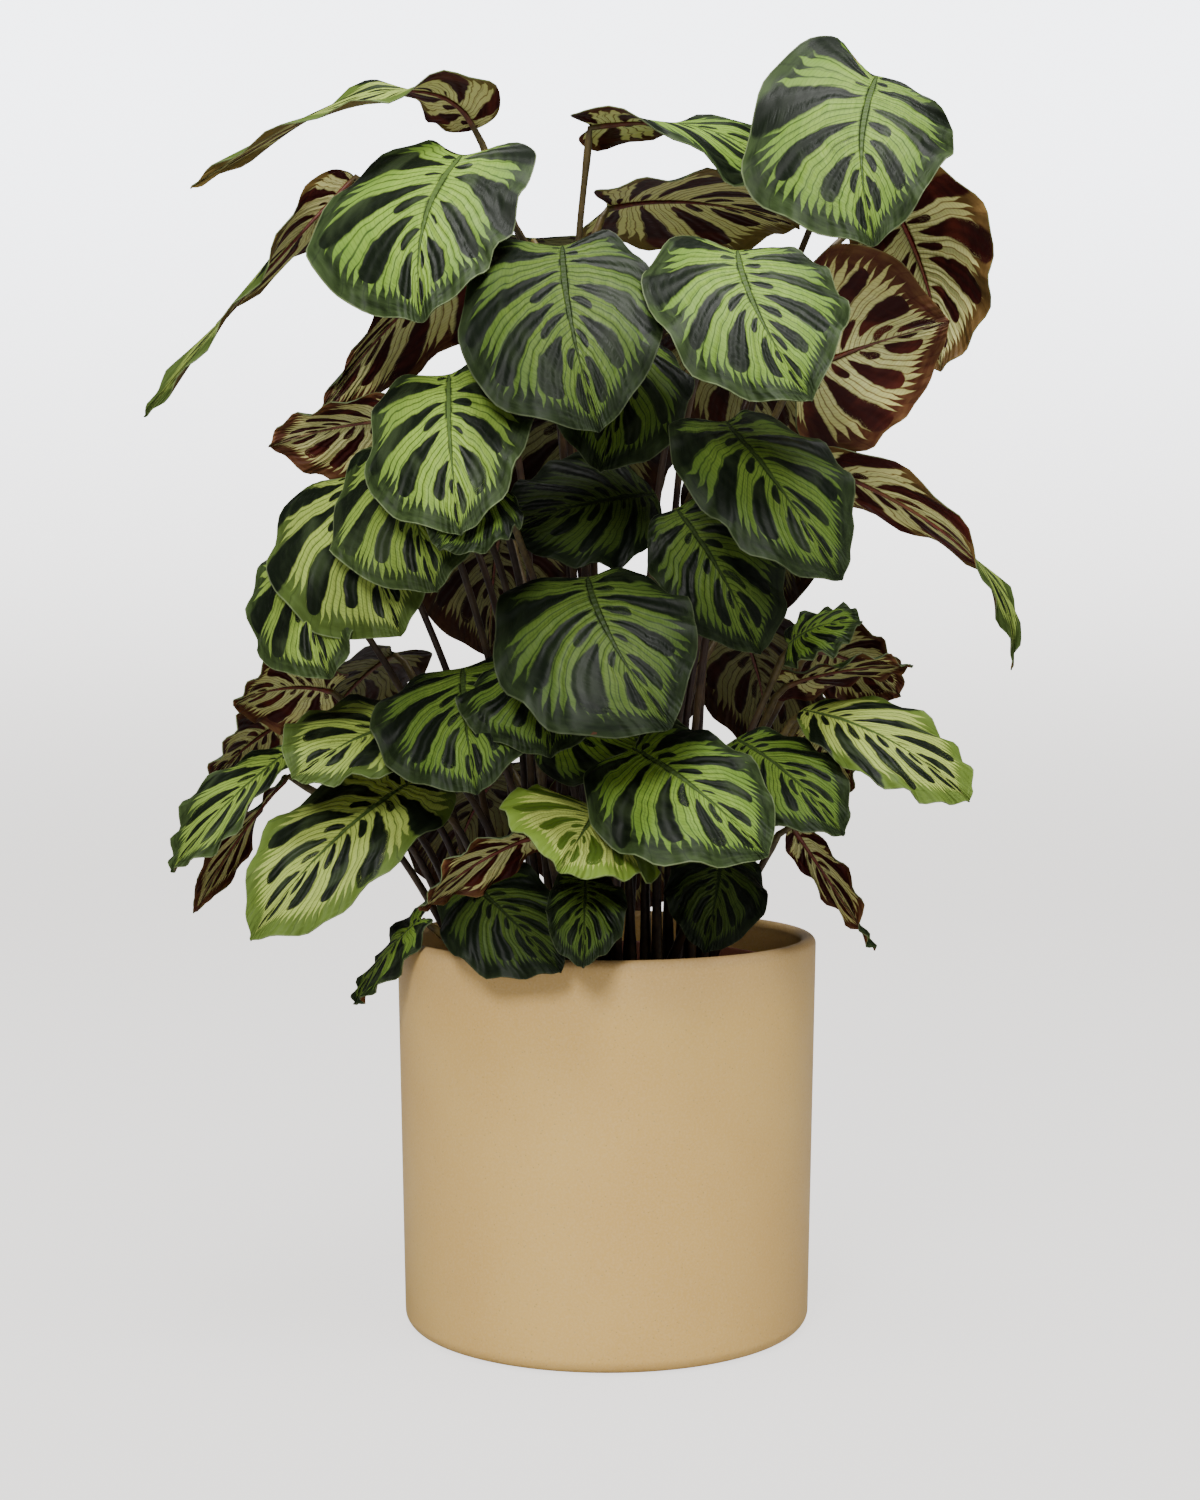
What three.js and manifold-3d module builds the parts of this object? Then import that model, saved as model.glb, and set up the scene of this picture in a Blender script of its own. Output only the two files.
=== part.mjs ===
// A potted peacock plant: a ceramic cover pot, the nursery pot and soil in it, and the leaves.
// Millimetres, +Z up. The origin is the middle of the cover pot's underside, and the plant's
// best side faces -Y. Each leaf is one mesh, its stalk and its patterned blade grown together.
import * as THREE from "three";
import { mergeVertices } from "three/addons/utils/BufferGeometryUtils.js";
import Module from "manifold-3d";

const wasm = await Module();
wasm.setup();

// Cover pot
const POT_HEIGHT = 232;
const POT_RIM_RADIUS = 125;
const POT_FOOT_RADIUS = 121;
const POT_WALL = 9;
const POT_FLOOR = 10;
const FOOT_ROUNDING = 8;
const POT_SEGMENTS = 40;

// Nursery pot and soil
const GAP = 0.3;
const LINER_HEIGHT = 204;
const LINER_RIM_RADIUS = 104;
const LINER_BASE_RADIUS = 80;
const LINER_WALL = 1.6;
const LINER_SEGMENTS = 28;
const SOIL_TOP = 198;
const SOIL_CROWN = 5;

// Leaves
const BLADE_THICKNESS = 0.8;
const RIPPLE = 2;
const STALK_RADIUS = 2.3;
const STALK_SIDES = 4;
const STALK_SPACING = 6.8;
const BEND_SPACING = 85;
const STALK_DEPTH = 22;
const HOLE_RADIUS = 3.15;
const HOLE_SIDES = 6;
const ROOT_SPACING = 7.6;
const ROOT_REACH = 80;
const LOW_ROOT = 0.55;
const HIGH_ROOT = 0.28;
const WIDEST = 0.45;
const HEEL = 0.2;
const ROWS = [0.08, 0.2, 0.36, 0.52, 0.68, 0.84];

// How the side veins leave the midrib and reach the edge
const VEIN_CROWDING = 1.6;
const EDGE_CROWDING = 1.2;
const NOTCH_WIDTH = 0.35;
const EDGE_FULLNESS = 0.9;
const TIP_TAPER = 0.75;
const VEIN_SWEEP = 1.2;
const VEIN_SPREAD = 0.95;
const RIPPLE_TURNS = 2.1;
const RIPPLE_SHIFTS = [1.7, 2.1];
const NORMAL_STEP = 0.02;

// How a stalk rises from the soil and arrives behind its blade
const ARRIVAL = { up: 0.7, along: 0.4, outward: 0.35 };
const KNEE_LENGTH = 9;
const ROOT_PULL = 0.4;
const KNEE_PULL = 0.3;
const CURVE_STEPS = 40;
const ROOT_ROUNDS = 80;
const SPREAD_ROUNDS = 60;
const STALK_TAPER = 0.85;
const RIB = [[0, 1.9], [0.14, 0.9]];
const RIB_SINK = 0.7;
const WIDE_HALF = 42;

const UP = new THREE.Vector3(0, 0, 1);
const RADIANS = Math.PI / 180;

// One row for each leaf: base, where the stalk meets the blade, tip, the blade's far end, face,
// the way its upper side looks, and the width of the blade or of its left and right halves doubled.
// Then its habit: bow lifts the midrib's middle towards face and sweep moves it sideways, to the
// right of a blade that hangs with its upper side to the eye, both most at crest. curl bends each
// half up by so many degrees, and twist turns the blade at the base and at the tip. slim is the
// narrowing towards the tip, widest the place of the widest line and heel how far the lobes reach
// behind the stalk, one number or left and right, as shares of the blade's length. A smaller inset
// brings the stalk's root nearer the middle of the pot.
const LEAVES = [
  [
    [-78, 10, 711], [-246, 0, 674], [-0.1, -0.5, 0.85], [76, 104],
    { bow: 33, crest: 0.1, curl: 0, twist: [75, 55], slim: 0.6, heel: 0 },
  ],
  [[-83, -40, 686], [-102, -105, 582], [-0.25, -0.9, 0.4], [152, 108], { sweep: -8, heel: [0.2, 0.34] }],
  [
    [-150, 12, 683], [-273, -10, 539], [-0.7, 0, 0.7], 50,
    { bow: 3, crest: 0.35, curl: 0, twist: [75, -55], slim: 0.35, heel: 0 },
  ],
  [[-25, -80, 628], [-4, -145, 519], [-0.05, -0.9, 0.4], [138, 112], { bow: 12, sweep: -4 }],
  [[12, -45, 586], [-4, -108, 500], [0.2, -0.85, 0.5], 96, { heel: 0 }],
  [
    [72, -95, 623], [108, -160, 534], [0.05, -0.9, 0.42], [118, 112],
    { sweep: -9, widest: 0.38, heel: [0.34, 0.15] },
  ],
  [
    [156, -30, 733], [149, -84, 627], [-0.1, -0.92, 0.4], [150, 110],
    { bow: 8, sweep: -8, widest: 0.38, heel: [0.5, 0] },
  ],
  [[-10, -5, 710], [131, 46, 655], [0.15, -0.7, 0.7], 66, { bow: 32, twist: [-65, 0], heel: 0.12 }],
  [[0, 26, 668], [118, 45, 658], [0, 0.3, 0.95], 112, {}],
  [[109, -30, 561], [206, 20, 599], [0.3, 0.9, 0.3], [134, 118], { bow: 14, heel: [0.3, 0.2] }],
  [[176, 70, 680], [205, 50, 572], [0.6, 0.8, 0.2], [124, 92], { bow: 14 }],
  [[66, -84, 530], [126, -142, 440], [0.2, -0.8, 0.55], [98, 98], { bow: 12, sweep: -5 }],
  [[39, -71, 482], [86, -86, 400], [0.1, -0.9, 0.4], [74, 92], { heel: 0.08 }],
  [
    [112, -35, 513], [238, -20, 390], [0.6, 0, 0.8], 64,
    { bow: 31, crest: 0.75, curl: 0, twist: [-70, 75], slim: 0.8, heel: 0 },
  ],
  [[-88, -86, 556], [-78, -148, 464], [-0.25, -0.85, 0.45], [116, 94], { bow: 8 }],
  [[-115, -74, 519], [-92, -130, 434], [-0.35, -0.8, 0.45], [114, 84], { bow: 8 }],
  [[-147, -54, 502], [-114, -104, 410], [-0.35, -0.85, 0.4], [140, 90], { bow: 8 }],
  [[-176, -42, 464], [-155, -90, 386], [-0.45, -0.8, 0.4], [94, 80], { bow: 8 }],
  [[-60, -112, 492], [-90, -146, 456], [-0.1, -0.85, 0.5], 60, { bow: 4, heel: 0, inset: 0.3 }],
  [[-79, -25, 634], [-168, -25, 538], [-0.4, 0.7, 0.5], [104, 34], { slim: 0.4 }],
  [[-113, -45, 535], [-197, -30, 520], [-0.2, 0.7, 0.6], [78, 46], { bow: 6 }],
  [[28, -42, 492], [-60, -70, 470], [-0.2, -0.85, 0.5], [92, 92], { bow: 6, heel: 0 }],
  [[-11, -92, 443], [34, -160, 361], [0, -0.85, 0.5], [142, 104], { bow: 12, sweep: -8, heel: 0.15 }],
  [[-34, -74, 402], [-31, -130, 344], [-0.1, -0.85, 0.5], [108, 92], { bow: 8, heel: 0.05, inset: 0.6 }],
  [[-82, -60, 392], [-71, -130, 324], [-0.2, -0.8, 0.6], [122, 96], {}],
  [[-109, -48, 360], [-176, -95, 330], [-0.3, -0.7, 0.6], [112, 76], { bow: 8 }],
  [[-113, -50, 326], [-198, -107, 241], [-0.3, -0.8, 0.5], [96, 86], { bow: 12 }],
  [
    [-184, -30, 344], [-251, -55, 274], [-0.5, -0.7, 0.6], [60, 42],
    { bow: 6, curl: 0, widest: 0.58, heel: 0 },
  ],
  [
    [-190, -10, 328], [-242, -34, 248], [-0.4, 0.6, 0.6], 32,
    { bow: 4, curl: 0, twist: [-60, 60], slim: 0.3, heel: 0 },
  ],
  [[-160, -20, 378], [-217, -40, 370], [-0.3, 0.6, 0.7], 70, { bow: 8 }],
  [[-193, 14, 360], [-236, -14, 322], [-0.3, 0.6, 0.7], 68, { bow: 4 }],
  [[104, -55, 405], [145, -70, 418], [0.1, -0.6, 0.8], 54, { bow: 6 }],
  [[122, -4, 402], [175, -4, 374], [0.3, 0.8, 0.5], 62, {}],
  [[104, -30, 382], [177, -46, 393], [0.1, 0.5, 0.85], 40, { bow: 4, slim: 0.4 }],
  [[113, -40, 367], [204, -86, 317], [0.3, -0.7, 0.65], [66, 84], { bow: 12, heel: 0, widest: 0.6 }],
  [[121, -14, 364], [137, -28, 313], [0.5, 0.8, 0.2], 52, { bow: 6, heel: 0.1 }],
  [[74, -55, 351], [132, -100, 299], [0.3, -0.8, 0.5], 74, { bow: 8, heel: 0.05 }],
  [[14, -100, 348], [86, -153, 292], [0.1, -0.85, 0.5], [112, 84], {}],
  [[-38, -62, 352], [52, -76, 352], [-0.1, -0.95, 0.3], [62, 44], { bow: 6, heel: 0.1 }],
  [[-4, -80, 312], [-26, -160, 285], [0.35, -0.44, 0.77], 100, { bow: 8, heel: 0.1 }],
  [[-38, -92, 300], [-104, -116, 259], [-0.3, 0.6, 0.7], 44, { bow: 6 }],
  [[-12, -105, 276], [-13, -152, 232], [0, -0.85, 0.5], 48, { bow: 6 }],
  [[-78, -72, 270], [-25, -140, 228], [-0.2, -0.75, 0.6], [76, 66], { bow: 8 }],
  [[-107, -60, 248], [-148, -38, 195], [-0.7, -0.5, 0.5], [26, 36], { bow: 4 }],
  [[66, -50, 287], [55, -90, 232], [0.2, -0.8, 0.5], 64, { bow: 6 }],
  [[109, -17, 298], [160, -10, 223], [0.5, 0.6, 0.6], 30, { bow: 1, curl: 0, twist: [-50, 50], heel: 0 }],
  [[-45, 62, 655], [-60, 152, 590], [-0.1, 0.7, 0.7], 112, { bow: 12 }],
  [[70, 85, 612], [105, 158, 520], [0.3, 0.8, 0.5], 118, { bow: 12 }],
  [[-25, 75, 560], [-10, 150, 462], [0, 0.85, 0.5], 130, { bow: 12 }],
  [[-115, 52, 515], [-155, 112, 428], [-0.5, 0.75, 0.45], 108, { bow: 12 }],
  [[80, 60, 505], [102, 125, 418], [0.4, 0.75, 0.5], 92, { bow: 12 }],
  [[12, 96, 418], [20, 160, 325], [0.1, 0.85, 0.5], 108, { bow: 12 }],
  [[-64, 64, 484], [-76, 130, 396], [-0.2, 0.85, 0.5], 112, { bow: 12 }],
  [[-130, 42, 400], [-190, 75, 320], [-0.6, 0.5, 0.6], 90, { bow: 12 }],
  [[10, 88, 320], [14, 160, 222], [0, 0.8, 0.6], 134, { bow: 12 }],
  [[78, 58, 424], [106, 122, 332], [0.4, 0.7, 0.5], 112, { bow: 12 }],
  [[-62, 74, 330], [-104, 130, 242], [-0.4, 0.7, 0.6], 108, { bow: 12 }],
];

const vector = (numbers) => new THREE.Vector3(...numbers);

const lerp = (a, b, share) => a + (b - a) * share;

// One number for both halves of a blade, or the left and the right one.
const pair = (value) => (Array.isArray(value) ? value : [value, value]);

// A leaf's habit as vectors, with the plain defaults filled in.
function habitOf([basePlace, tipPlace, facing, width, habit], index) {
  const base = vector(basePlace);
  const tip = vector(tipPlace);
  const chord = tip.clone().sub(base);
  const along = chord.clone().normalize();
  const face = vector(facing);
  face.addScaledVector(along, -face.dot(along)).normalize();
  const side = face.clone().cross(along);
  const { bow = 10, sweep = 0, crest = 0.5, curl = -20, twist = [0, 0] } = habit;
  const { slim = 0, widest = WIDEST, heel = HEEL, inset = 1 } = habit;
  const control = base.clone().addScaledVector(chord, crest);
  control.addScaledVector(face, 2 * bow).addScaledVector(side, 2 * sweep);
  const halves = pair(width).map((whole) => whole / 2);
  const heels = pair(heel);
  return { base, tip, control, face, halves, curl, twist, slim, widest, heels, inset, index };
}

// The midrib is a parabola. It goes on straight past its ends, for the lobes behind the stalk.
function midrib(leaf, x) {
  const at = THREE.MathUtils.clamp(x, 0, 1);
  const start = leaf.control.clone().sub(leaf.base);
  const end = leaf.tip.clone().sub(leaf.control);
  const slope = start.clone().lerp(end, at).multiplyScalar(2);
  const place = leaf.base.clone().multiplyScalar((1 - at) ** 2);
  place.addScaledVector(leaf.control, 2 * at * (1 - at)).addScaledVector(leaf.tip, at * at);
  place.addScaledVector(slope, x - at);
  const along = slope.normalize();
  const turn = x < 0.5 ? leaf.twist[0] * (1 - 2 * at) : leaf.twist[1] * (2 * at - 1);
  const normal = leaf.face.clone().addScaledVector(along, -leaf.face.dot(along)).normalize();
  normal.applyAxisAngle(along, turn * RADIANS);
  const side = normal.clone().cross(along);
  return { place, along, normal, side };
}

// The blade lies on its side veins: s runs from the lowest vein (0) to the tip (1), and t from
// the left edge (-1) over the midrib (0) to the right edge (1).
function flatPoint(leaf, s, t) {
  const widest = leaf.widest;
  const heel = leaf.heels[t < 0 ? 0 : 1];
  const start = s ** VEIN_CROWDING;
  const angle = Math.PI * (1 - s) ** EDGE_CROWDING;
  const reach = angle < Math.PI / 2 ? 1 - widest : widest + heel;
  const notch = 1 - (heel / (widest + heel)) * Math.exp(-(((Math.PI - angle) / NOTCH_WIDTH) ** 2));
  const edge = widest + reach * Math.cos(angle) * notch;
  const spread = Math.sin(angle) ** EDGE_FULLNESS * Math.tanh(angle / TIP_TAPER);
  const out = Math.abs(t);
  const x = lerp(start, edge, out ** VEIN_SWEEP);
  return { x, across: Math.sign(t) * spread * out ** VEIN_SPREAD };
}

function bladePoint(leaf, s, t) {
  const flat = flatPoint(leaf, s, t);
  const frame = midrib(leaf, flat.x);
  const half = leaf.halves[t < 0 ? 0 : 1] * (1 - leaf.slim * Math.max(0, flat.x));
  const out = Math.abs(flat.across) * half;
  const bend = ((leaf.curl || 1) * RADIANS) / half;
  const run = Math.sin(bend * out) / bend;
  const rise = (1 - Math.cos(bend * out)) / bend;
  const phase = RIPPLE_SHIFTS[0] * leaf.index + (t < 0 ? 0 : RIPPLE_SHIFTS[1]);
  const wave = Math.sin(Math.PI * s) * Math.sin(2 * RIPPLE_TURNS * Math.PI * s + phase);
  const place = frame.place.clone().addScaledVector(frame.side, Math.sign(t) * run);
  return place.addScaledVector(frame.normal, rise + RIPPLE * t * t * wave);
}

// The surface's own normal, from its neighbours along and across the veins.
function bladeNormal(leaf, s, t) {
  if (s <= 0 || s >= 1) return midrib(leaf, s).normal;
  const step = NORMAL_STEP;
  const forward = bladePoint(leaf, Math.min(1, s + step), t);
  forward.sub(bladePoint(leaf, Math.max(0, s - step), t));
  const outward = bladePoint(leaf, s, Math.min(1, t + step));
  outward.sub(bladePoint(leaf, s, Math.max(-1, t - step)));
  return outward.cross(forward).normalize().negate();
}

function solidFromMesh(positions, triangles) {
  const geometry = new THREE.BufferGeometry();
  geometry.setAttribute("position", new THREE.Float32BufferAttribute(positions, 3));
  geometry.setIndex(triangles);
  return solidFromGeometry(geometry);
}

function solidFromGeometry(source) {
  const geometry = source.clone();
  geometry.deleteAttribute("normal");
  geometry.deleteAttribute("uv");
  const merged = mergeVertices(geometry, 1e-3);
  return new wasm.Manifold(
    new wasm.Mesh({
      numProp: 3,
      vertProperties: new Float32Array(merged.attributes.position.array),
      triVerts: new Uint32Array(merged.index.array),
    }),
  );
}

function geometryFromSolid(solid) {
  const mesh = solid.getMesh();
  const geometry = new THREE.BufferGeometry();
  geometry.setAttribute("position", new THREE.Float32BufferAttribute(mesh.vertProperties, 3));
  geometry.setIndex(Array.from(mesh.triVerts));
  geometry.computeVertexNormals();
  return geometry;
}

// The blade as a thin closed shell: the same triangles above and below, and a wall at the edge.
function bladeSolid(leaf, columns) {
  const positions = [];
  const triangles = [];
  const addPair = (s, t) => {
    const middle = bladePoint(leaf, s, t);
    const offset = bladeNormal(leaf, s, t).multiplyScalar(BLADE_THICKNESS / 2);
    const first = positions.length / 3;
    positions.push(...middle.clone().add(offset).toArray());
    positions.push(...middle.sub(offset).toArray());
    return first;
  };
  const addFace = (a, b, c) => {
    triangles.push(a, c, b);
    triangles.push(a + 1, b + 1, c + 1);
  };
  const addWall = (a, b) => {
    triangles.push(a, b + 1, a + 1);
    triangles.push(a, b, b + 1);
  };
  const heel = addPair(0, 0);
  const point = addPair(1, 0);
  const grid = [];
  for (const s of ROWS) {
    const line = [];
    for (let j = -columns; j <= columns; j += 1) line.push(addPair(s, j / columns));
    grid.push(line);
  }
  const last = grid[grid.length - 1];
  for (let j = 0; j < 2 * columns; j += 1) {
    addFace(heel, grid[0][j + 1], grid[0][j]);
    addFace(point, last[j], last[j + 1]);
  }
  for (let i = 0; i + 1 < grid.length; i += 1) {
    for (let j = 0; j < 2 * columns; j += 1) {
      const [a, b] = [grid[i][j], grid[i][j + 1]];
      const [c, d] = [grid[i + 1][j], grid[i + 1][j + 1]];
      if (j < columns) {
        addFace(a, b, c);
        addFace(b, d, c);
      } else {
        addFace(a, b, d);
        addFace(a, d, c);
      }
    }
  }
  const left = [heel, ...grid.map((line) => line[0]), point];
  const right = [heel, ...grid.map((line) => line[2 * columns]), point];
  for (let i = 0; i + 1 < left.length; i += 1) {
    addWall(left[i + 1], left[i]);
    addWall(right[i], right[i + 1]);
  }
  return solidFromMesh(positions, triangles);
}

// A round stem through points, each with its own radius, closed at both ends.
function stemSolid(points, radii, sides) {
  const positions = [];
  const triangles = [];
  let across = new THREE.Vector3(1, 0, 0);
  points.forEach((point, i) => {
    const before = points[Math.max(0, i - 1)];
    const after = points[Math.min(points.length - 1, i + 1)];
    const along = after.clone().sub(before).normalize();
    across = across.clone().addScaledVector(along, -across.dot(along)).normalize();
    const other = along.clone().cross(across);
    for (let k = 0; k < sides; k += 1) {
      const turn = (2 * Math.PI * k) / sides;
      const corner = point.clone().addScaledVector(across, radii[i] * Math.cos(turn));
      corner.addScaledVector(other, radii[i] * Math.sin(turn));
      positions.push(...corner.toArray());
    }
  });
  for (let i = 0; i + 1 < points.length; i += 1) {
    for (let k = 0; k < sides; k += 1) {
      const next = (k + 1) % sides;
      const [a, b] = [i * sides + k, i * sides + next];
      const [c, d] = [a + sides, b + sides];
      triangles.push(a, b, d, a, d, c);
    }
  }
  const top = (points.length - 1) * sides;
  for (let k = 1; k + 1 < sides; k += 1) {
    triangles.push(0, k + 1, k);
    triangles.push(top, top + k, top + k + 1);
  }
  return solidFromMesh(positions, triangles);
}

// Where each stalk leaves the soil: under its blade's base, the low leaves further out, and no
// two closer than ROOT_SPACING.
function rootPlaces(leaves) {
  const heights = leaves.map((leaf) => leaf.base.z);
  const lowest = Math.min(...heights);
  const highest = Math.max(...heights);
  const places = leaves.map(({ base, inset }) => {
    const share = inset * lerp(LOW_ROOT, HIGH_ROOT, (base.z - lowest) / (highest - lowest));
    return new THREE.Vector2(base.x * share, base.y * share).clampLength(0, ROOT_REACH);
  });
  for (let round = 0; round < ROOT_ROUNDS; round += 1) {
    places.forEach((one, i) => {
      places.slice(i + 1).forEach((two) => {
        const apart = two.clone().sub(one);
        const short = ROOT_SPACING - apart.length();
        if (short <= 0) return;
        apart.setLength(short / 2);
        one.sub(apart);
        two.add(apart);
      });
    });
  }
  return places;
}

// A stalk's path out of the soil: it bends only at heights BEND_SPACING apart, which are the same
// for every stalk, and ends at a knee just behind its blade.
function stalkPath(leaf, root) {
  const start = new THREE.Vector3(root.x, root.y, SOIL_TOP + SOIL_CROWN);
  const first = midrib(leaf, 0);
  const outward = new THREE.Vector3(leaf.base.x, leaf.base.y, 0).normalize();
  const arrive = UP.clone().multiplyScalar(ARRIVAL.up);
  arrive.addScaledVector(first.along, ARRIVAL.along);
  arrive.addScaledVector(outward, ARRIVAL.outward).normalize();
  const knee = leaf.base.clone().addScaledVector(arrive, -KNEE_LENGTH);
  knee.addScaledVector(first.normal, -1);
  const reach = knee.distanceTo(start);
  const curve = new THREE.CubicBezierCurve3(
    start,
    start.clone().addScaledVector(UP, reach * ROOT_PULL),
    knee.clone().addScaledVector(arrive, -reach * KNEE_PULL),
    knee,
  );
  const fine = curve.getPoints(CURVE_STEPS);
  const path = [start];
  for (let z = start.z + BEND_SPACING; z < knee.z - BEND_SPACING / 3; z += BEND_SPACING) {
    const above = fine.findIndex((point) => point.z >= z);
    const [low, high] = [fine[above - 1], fine[above]];
    path.push(low.clone().lerp(high, (z - low.z) / (high.z - low.z)));
  }
  path.push(knee);
  return path;
}

function planAt(path, height) {
  const above = Math.max(1, path.findIndex((point) => point.z >= height));
  const [low, high] = [path[above - 1], path[above]];
  const place = low.clone().lerp(high, (height - low.z) / (high.z - low.z));
  return new THREE.Vector2(place.x, place.y);
}

// Bends the stalks clear of each other. Between two bends both run straight, so their nearest
// place follows from how far apart they stand at the two heights.
function spreadStalks(paths) {
  const nudge = (path, bend, shift, share) => {
    if (bend <= 0 || bend >= path.length - 1) return;
    path[bend].x += shift.x * share;
    path[bend].y += shift.y * share;
  };
  const partPair = (one, two) => {
    const top = Math.min(one.at(-1).z, two.at(-1).z);
    for (let bend = 0; one[0].z + bend * BEND_SPACING < top; bend += 1) {
      const low = one[0].z + bend * BEND_SPACING;
      const high = Math.min(low + BEND_SPACING, top);
      const below = planAt(two, low).sub(planAt(one, low));
      const change = planAt(two, high).sub(planAt(one, high)).sub(below);
      const nearest = -below.dot(change) / Math.max(1e-6, change.lengthSq());
      const share = THREE.MathUtils.clamp(nearest, 0, 1);
      const apart = below.clone().addScaledVector(change, share);
      const short = STALK_SPACING - apart.length();
      if (short <= 0) continue;
      const shift = apart.setLength(short / 2);
      nudge(two, bend, shift, 1 - share);
      nudge(two, bend + 1, shift, share);
      nudge(one, bend, shift, share - 1);
      nudge(one, bend + 1, shift, -share);
    }
  };
  for (let round = 0; round < SPREAD_ROUNDS; round += 1) {
    paths.forEach((one, i) => paths.slice(i + 1).forEach((two) => partPair(one, two)));
  }
}

// The stalk goes on under the first part of the midrib.
function stalkSolid(leaf, path) {
  const points = [path[0].clone().setZ(SOIL_TOP - STALK_DEPTH), ...path];
  const radii = points.map((_, i) => STALK_RADIUS * lerp(1, STALK_TAPER, i / points.length));
  for (const [x, radius] of RIB) {
    const frame = midrib(leaf, x);
    points.push(frame.place.addScaledVector(frame.normal, -RIB_SINK * radius));
    radii.push(radius);
  }
  return stemSolid(points, radii, STALK_SIDES);
}

function latheProfile(pairs) {
  return pairs.map(([radius, height]) => new THREE.Vector2(radius, height));
}

// LatheGeometry turns its profile round Y, so it is stood up along Z.
function turned(pairs, segments) {
  const geometry = new THREE.LatheGeometry(latheProfile(pairs), segments);
  geometry.rotateX(Math.PI / 2);
  return solidFromGeometry(geometry);
}

function arc(centreRadius, centreHeight, radius, from, to, steps) {
  const pairs = [];
  for (let i = 0; i <= steps; i += 1) {
    const angle = lerp(from, to, i / steps) * RADIANS;
    pairs.push([centreRadius + radius * Math.cos(angle), centreHeight + radius * Math.sin(angle)]);
  }
  return pairs;
}

function coverPot() {
  const lip = POT_WALL / 2;
  const inner = POT_FOOT_RADIUS - POT_WALL;
  return turned(
    [
      [0, 0],
      ...arc(POT_FOOT_RADIUS - FOOT_ROUNDING, FOOT_ROUNDING, FOOT_ROUNDING, -90, 0, 3),
      ...arc(POT_RIM_RADIUS - lip, POT_HEIGHT - lip, lip, 0, 180, 4),
      ...arc(inner - FOOT_ROUNDING, POT_FLOOR + FOOT_ROUNDING, FOOT_ROUNDING, 0, -90, 2),
      [0, POT_FLOOR],
    ],
    POT_SEGMENTS,
  );
}

function linerPot() {
  const floor = POT_FLOOR + GAP;
  const top = floor + LINER_HEIGHT;
  return turned(
    [
      [0, floor],
      [LINER_BASE_RADIUS, floor],
      [LINER_RIM_RADIUS, top - 10],
      [LINER_RIM_RADIUS + 1.5, top - 10],
      [LINER_RIM_RADIUS + 2, top],
      [LINER_RIM_RADIUS - LINER_WALL, top],
      [LINER_BASE_RADIUS - LINER_WALL, floor + LINER_WALL],
      [0, floor + LINER_WALL],
    ],
    LINER_SEGMENTS,
  );
}

function soil(places) {
  const floor = POT_FLOOR + LINER_WALL + 2 * GAP;
  const slope = (LINER_RIM_RADIUS - LINER_BASE_RADIUS) / LINER_HEIGHT;
  const radiusAt = (height) => LINER_BASE_RADIUS - LINER_WALL - 2 * GAP + slope * (height - floor);
  let body = turned(
    [
      [0, floor],
      [radiusAt(floor), floor],
      [radiusAt(SOIL_TOP - 4), SOIL_TOP - 4],
      [radiusAt(SOIL_TOP) - 8, SOIL_TOP],
      [LINER_BASE_RADIUS * 0.5, SOIL_TOP + SOIL_CROWN],
      [0, SOIL_TOP + SOIL_CROWN],
    ],
    LINER_SEGMENTS,
  );
  const depth = STALK_DEPTH + SOIL_CROWN + 3;
  const hole = new THREE.CylinderGeometry(HOLE_RADIUS, HOLE_RADIUS, depth, HOLE_SIDES);
  hole.rotateX(Math.PI / 2);
  hole.translate(0, 0, SOIL_TOP - STALK_DEPTH - GAP + depth / 2);
  const plug = solidFromGeometry(hole);
  for (const place of places) body = body.subtract(plug.translate(place.x, place.y, 0));
  return body;
}

function named(name, solid, colour, roughness) {
  const material = new THREE.MeshStandardMaterial({ color: colour, roughness, metalness: 0 });
  const mesh = new THREE.Mesh(geometryFromSolid(solid), material);
  mesh.name = name;
  return mesh;
}

const plant = new THREE.Group();
const leaves = LEAVES.map(habitOf);
const places = rootPlaces(leaves);
const paths = leaves.map((leaf, i) => stalkPath(leaf, places[i]));
spreadStalks(paths);
plant.add(named("cover_pot", coverPot(), 0xc8ae84, 0.6));
plant.add(named("nursery_pot", linerPot(), 0x4a3026, 0.6));
plant.add(named("soil", soil(places), 0x2a1f18, 0.95));
leaves.forEach((leaf, i) => {
  const columns = Math.max(...leaf.halves) > WIDE_HALF ? 3 : 2;
  const solid = bladeSolid(leaf, columns).add(stalkSolid(leaf, paths[i]));
  plant.add(named(`leaf_${String(i + 1).padStart(2, "0")}`, solid, 0x5c8a3c, 0.45));
});

export default plant;
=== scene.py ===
# The looks of the potted peacock plant: patterned leaves on their stalks, the soil, the nursery
# pot and the glazed cover pot. The leaf table and the leaf formulas are those of the part's
# source, in millimetres, and each mesh is turned to metres as it is made.
import math

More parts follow.
